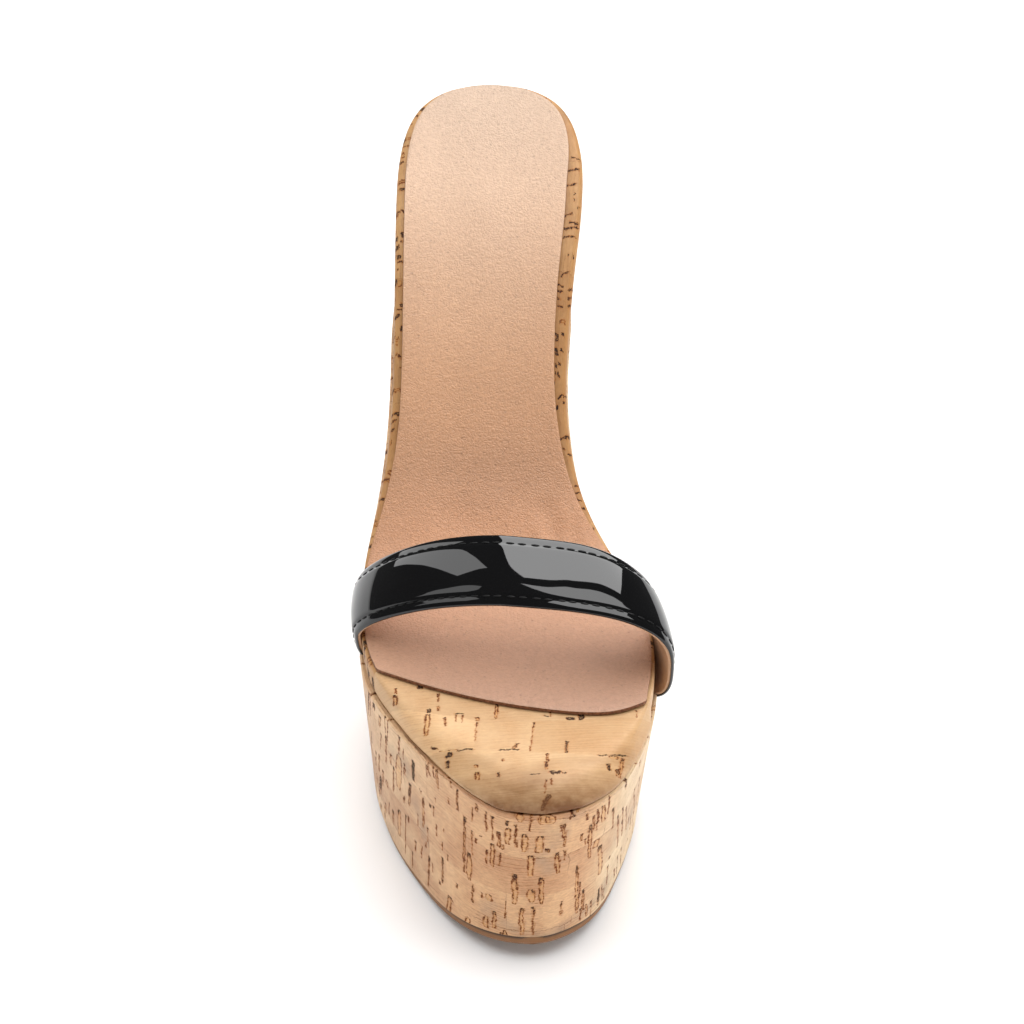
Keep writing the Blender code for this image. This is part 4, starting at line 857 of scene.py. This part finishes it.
# Strap: patent leather over a leather lining, stitched along both edges. Its cross section is swept
# between the two edges of the CAD strap's outer face. Lengths are in mm.
strapSet = {
    "steps": 260,             # sections from end to end
    "smoothAngle": 40,
    "patent": 1.25,           # thickness of the patent layer
    "underInset": 0.02,
    "lining": 0.85,
    "liningInset": 0.45,      # the lining stops short of the patent's edge
    "liningGap": 0.04,
    "liningBevel": (0.2, 0.15),
    "edgeRound": 0.9,         # height of the turned edge
    "edgeReach": 2.3,         # how far in it starts to turn
    "edgeBlend": 0.8,         # and how soon the crown is full there
    "band": 5,                # finer points this near to both edges
    "points": (7, 14, 15),    # round a turned edge, over the band, over the middle
    # drawn in towards the foot at the outer and the inner end: front edge, back edge
    "drawnOuter": (1.4, 1.4),
    "drawnInner": (0.3, 3.3),
    "drawnFrom": (16, 24),    # starts this far from the middle, full after that much more
    "crown": 0.95,            # swell of the middle
    "tab": (11, 10),          # no crown on the tabs under the footbed: their length and the fade after it
    "stitchInset": 2.5,       # stitch row from the edge
    "channelDepth": 0.22,
    "channelWidth": 0.75,
    "firstStitch": 12.5,
    "stitchPitch": 3.4,
    "stitch": (2.5, 0.62, 0.42),   # length, width and height
    "stitchPoints": (8, 6),        # round it, and steps from pole to pole
    "stitchLift": 0.05,
    "stitchAngle": 60,
    "patentLook": {"tones": ("#060607", "#0A0A0B"), "size": 14, "detail": 1.0, "relief": (0.5, 0.2),
                   "surface": {"Roughness": 0.3, "Specular IOR Level": 0.0, "Coat Weight": 1.0,
                               "Coat Roughness": 0.02, "Coat IOR": 1.5}},
    "liningLook": {"tones": ("#C19B7C", "#B08562"), "size": 1.2, "detail": 3.0, "relief": (0.3, 0.1),
                   "surface": {"Roughness": 0.7}},
    "threadLook": {"tones": ("#050505", "#0F0F10"), "size": 0.5, "detail": 1.0,
                   "surface": {"Roughness": 0.55, "Specular IOR Level": 0.2}},
}


def outerRails():
    # the two long edges of the strap's outer face, each from the outer side of the foot to the inner side
    form = bmesh.new()
    form.from_mesh(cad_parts["strap"].data)
    bmesh.ops.remove_doubles(form, verts=form.verts, dist=0.001 * mm)
    upward = [face for face in form.faces if face.normal.z > 0.7]   # neither the edges nor the underside
    start = max(upward, key=lambda face: face.calc_center_median().z)
    found, waiting = {start}, [start]
    while waiting:
        for edge in waiting.pop().edges:
            if edge.calc_face_angle() < math.radians(40):
                fresh = [face for face in edge.link_faces if face not in found]
                found.update(fresh)
                waiting.extend(fresh)
    border = [edge for face in found for edge in face.edges if sum(f in found for f in edge.link_faces) == 1]
    nextTo = {}
    for edge in border:
        for vert in edge.verts:
            nextTo.setdefault(vert, []).append(edge.other_vert(vert))
    loop = [border[0].verts[0]]
    loop.append(nextTo[loop[0]][0])
    while loop[-1] is not loop[0]:
        before, last = loop[-2:]
        loop.append(next(vert for vert in nextTo[last] if vert is not before))
    ring = np.array([vert.co for vert in loop[:-1]])
    form.free()
    ahead = np.roll(ring, -1, axis=0) - ring
    ahead /= np.linalg.norm(ahead, axis=1)[:, None]
    turn = (ahead * np.roll(ahead, 1, axis=0)).sum(axis=1)
    corners = np.flatnonzero(turn < 0.5)
    runs = []
    for i, corner in enumerate(corners):
        count = (corners[(i + 1) % len(corners)] - corner) % len(ring)
        runs.append(ring[(corner + np.arange(count + 1)) % len(ring)])
    runs = sorted(runs, key=len)[-2:]
    runs = [run if run[0][0] < run[-1][0] else run[::-1] for run in runs]
    return sorted(runs, key=lambda run: run[:, 1].mean())


frontRail, backRail = outerRails()
print("stage: strap rails,", len(frontRail), len(backRail), "points")


def alongRail(rail, shares):
    # smooth curve through the rail's points (Catmull-Rom), at shares of the middle line's own steps
    padded = np.vstack([2 * rail[0] - rail[1], rail, 2 * rail[-1] - rail[-2]])
    i = np.clip(shares.astype(int), 0, len(rail) - 2)
    t = (shares - i)[:, None]
    a, b, c, d = padded[i], padded[i + 1], padded[i + 2], padded[i + 3]
    return 0.5 * (2 * b + (c - a) * t + (2 * a - 5 * b + 4 * c - d) * t ** 2 + (3 * b - a - 3 * c + d) * t ** 3)


middle = (frontRail + backRail) / 2
walked = walkedAlong(middle)
wholeLength = walked[-1]
lengths = np.linspace(0, wholeLength, strapSet["steps"] + 1)
shares = np.interp(lengths, walked, np.arange(len(middle)))
fronts, backs = alongRail(frontRail, shares), alongRail(backRail, shares)
for rail, outer, inner in zip((fronts, backs), strapSet["drawnOuter"], strapSet["drawnInner"]):
    side = eased(ramp(np.abs(rail[:, 0]) / mm, *strapSet["drawnFrom"]))
    rail[:, 0] += np.where(rail[:, 0] < 0, outer, -inner) * side * mm
across = backs - fronts
widths = np.linalg.norm(across, axis=1)
across /= widths[:, None]
along = np.gradient((fronts + backs) / 2, axis=0)
outwards = np.cross(along, across)
outwards /= np.linalg.norm(outwards, axis=1)[:, None]
fullness = eased(ramp(np.minimum(lengths, wholeLength - lengths) / mm, *strapSet["tab"]))


def topHeight(inward, width):
    # height of the patent's face over the CAD face, at a distance from the front edge, in mm
    middle = (1 - (2 * inward / width - 1) ** 2) * strapSet["crown"]
    channel = 0
    for row in (strapSet["stitchInset"], width - strapSet["stitchInset"]):
        channel = channel + np.exp(-((inward - row) / strapSet["channelWidth"]) ** 2)
    blend = ramp(np.minimum(inward, width - inward), strapSet["edgeReach"], strapSet["edgeBlend"])
    return (middle - strapSet["channelDepth"] * channel) * blend


def patentSection(width):
    # cross section of the patent layer: (distance from the front edge, height), round the turned edges
    r, reach, band = strapSet["edgeRound"], strapSet["edgeReach"], strapSet["band"]
    turns, fine, coarse = strapSet["points"]
    inward = np.concatenate([np.linspace(reach, band, fine)[1:], np.linspace(band, width - band, coarse)[1:-1],
                             np.linspace(width - band, width - reach, fine)[:-1]])
    front = [(reach - reach * math.sin(a), -r + r * math.cos(a)) for a in np.linspace(0, np.pi / 2, turns)[::-1]]
    top = list(zip(inward, topHeight(inward, width)))
    back = [(width - x, h) for x, h in front[::-1]]
    a, bottom = strapSet["underInset"], -strapSet["patent"]
    under = [(width - a, bottom), (a, bottom)]
    return front + top + back + under


def liningSection(width):
    top = -strapSet["patent"] - strapSet["liningGap"]
    bottom = -strapSet["patent"] - strapSet["lining"]
    a, b = strapSet["liningInset"], width - strapSet["liningInset"]
    inset, rise = strapSet["liningBevel"]
    return [(a, bottom + rise), (a, top), (b, top), (b, bottom + rise), (b - inset, bottom), (a + inset, bottom)]


def sweep(name, sectionOf):
    # joins one closed section to the next, from one end of the strap to the other
    verts, faces = [], []
    for i in range(len(fronts)):
        section = sectionOf(widths[i] / mm)
        verts.extend(tuple(fronts[i] + across[i] * x * mm + outwards[i] * (h * fullness[i] if h > 0 else h) * mm)
                     for x, h in section)
    count = len(section)
    for i in range(len(fronts) - 1):
        for j in range(count):
            k = (j + 1) % count
            faces.append((i * count + j, (i + 1) * count + j, (i + 1) * count + k, i * count + k))
    faces.append(tuple(range(count)))
    faces.append(tuple(range(len(verts) - count, len(verts)))[::-1])
    piece = meshPiece(name, verts, faces)
    selectOnly(piece)
    bpy.ops.object.mode_set(mode="EDIT")
    bpy.ops.mesh.select_all(action="SELECT")
    bpy.ops.mesh.normals_make_consistent(inside=False)
    bpy.ops.object.mode_set(mode="OBJECT")
    shadeSmooth(piece, strapSet["smoothAngle"])
    return piece


patent, tree, shader = grainyMaterial("blackPatentLeather", strapSet["patentLook"])  # black under a wet-looking coat
feed(shader, {"Coat Normal": shader.inputs["Normal"].links[0].from_socket})
strapPatent = sweep("strapPatent", patentSection)
wear(strapPatent, "strap", "patent_leather", patent)
liningLeather, *_ = grainyMaterial("tanLiningLeather", strapSet["liningLook"])  # thin undyed lining hide
strapLining = sweep("strapLining", liningSection)
wear(strapLining, None, "insole_leather", liningLeather)


def roundBead(segments, steps):
    # points and faces of a ball one mm across, with rings between its poles
    tilts, turns = np.pi * np.arange(1, steps) / steps, 2 * np.pi * np.arange(segments) / segments
    rings = [(math.sin(a) * math.cos(b), math.sin(a) * math.sin(b), math.cos(a)) for a in tilts for b in turns]
    top, bottom, last = len(rings), len(rings) + 1, len(rings) - segments
    faces = []
    for k in range(segments):
        j = (k + 1) % segments
        faces.append((top, k, j))
        faces.extend((i + k, i + segments + k, i + segments + j, i + j) for i in range(0, last, segments))
        faces.append((last + k, bottom, last + j))
    return np.array(rings + [(0, 0, 1), (0, 0, -1)]) * 0.5 * mm, faces


# Stitches: one squashed bead, copied along both rows
bead, beadFaces = roundBead(*strapSet["stitchPoints"])
bead = bead * np.array(strapSet["stitch"])
verts, faces = [], []
firstStitch, pitch, inset = (strapSet[key] * mm for key in ("firstStitch", "stitchPitch", "stitchInset"))
count = int((wholeLength - 2 * firstStitch) / pitch)
for rail in (fronts + across * inset, backs - across * inset):
    for n in range(count + 1):
        i = int(round((firstStitch + n * pitch) / wholeLength * strapSet["steps"]))
        forward = rail[min(i + 1, len(rail) - 1)] - rail[i - 1]
        forward /= np.linalg.norm(forward)
        side = np.cross(outwards[i], forward)
        height = topHeight(strapSet["stitchInset"], widths[i] / mm) * fullness[i] + strapSet["stitchLift"]
        centre = rail[i] + outwards[i] * height * mm
        base = len(verts)
        verts.extend(tuple(centre + p[0] * forward + p[1] * side + p[2] * outwards[i]) for p in bead)
        faces.extend(tuple(v + base for v in face) for face in beadFaces)
strapStitches = meshPiece("strapStitches", verts, faces)
shadeSmooth(strapStitches, strapSet["stitchAngle"])
thread, *_ = grainyMaterial("blackWaxedThread", strapSet["threadLook"])  # twisted nylon, a dull sheen on its strands
wear(strapStitches, None, "patent_leather", thread)
print("stage: strap, lining and", 2 * (count + 1), "stitches")
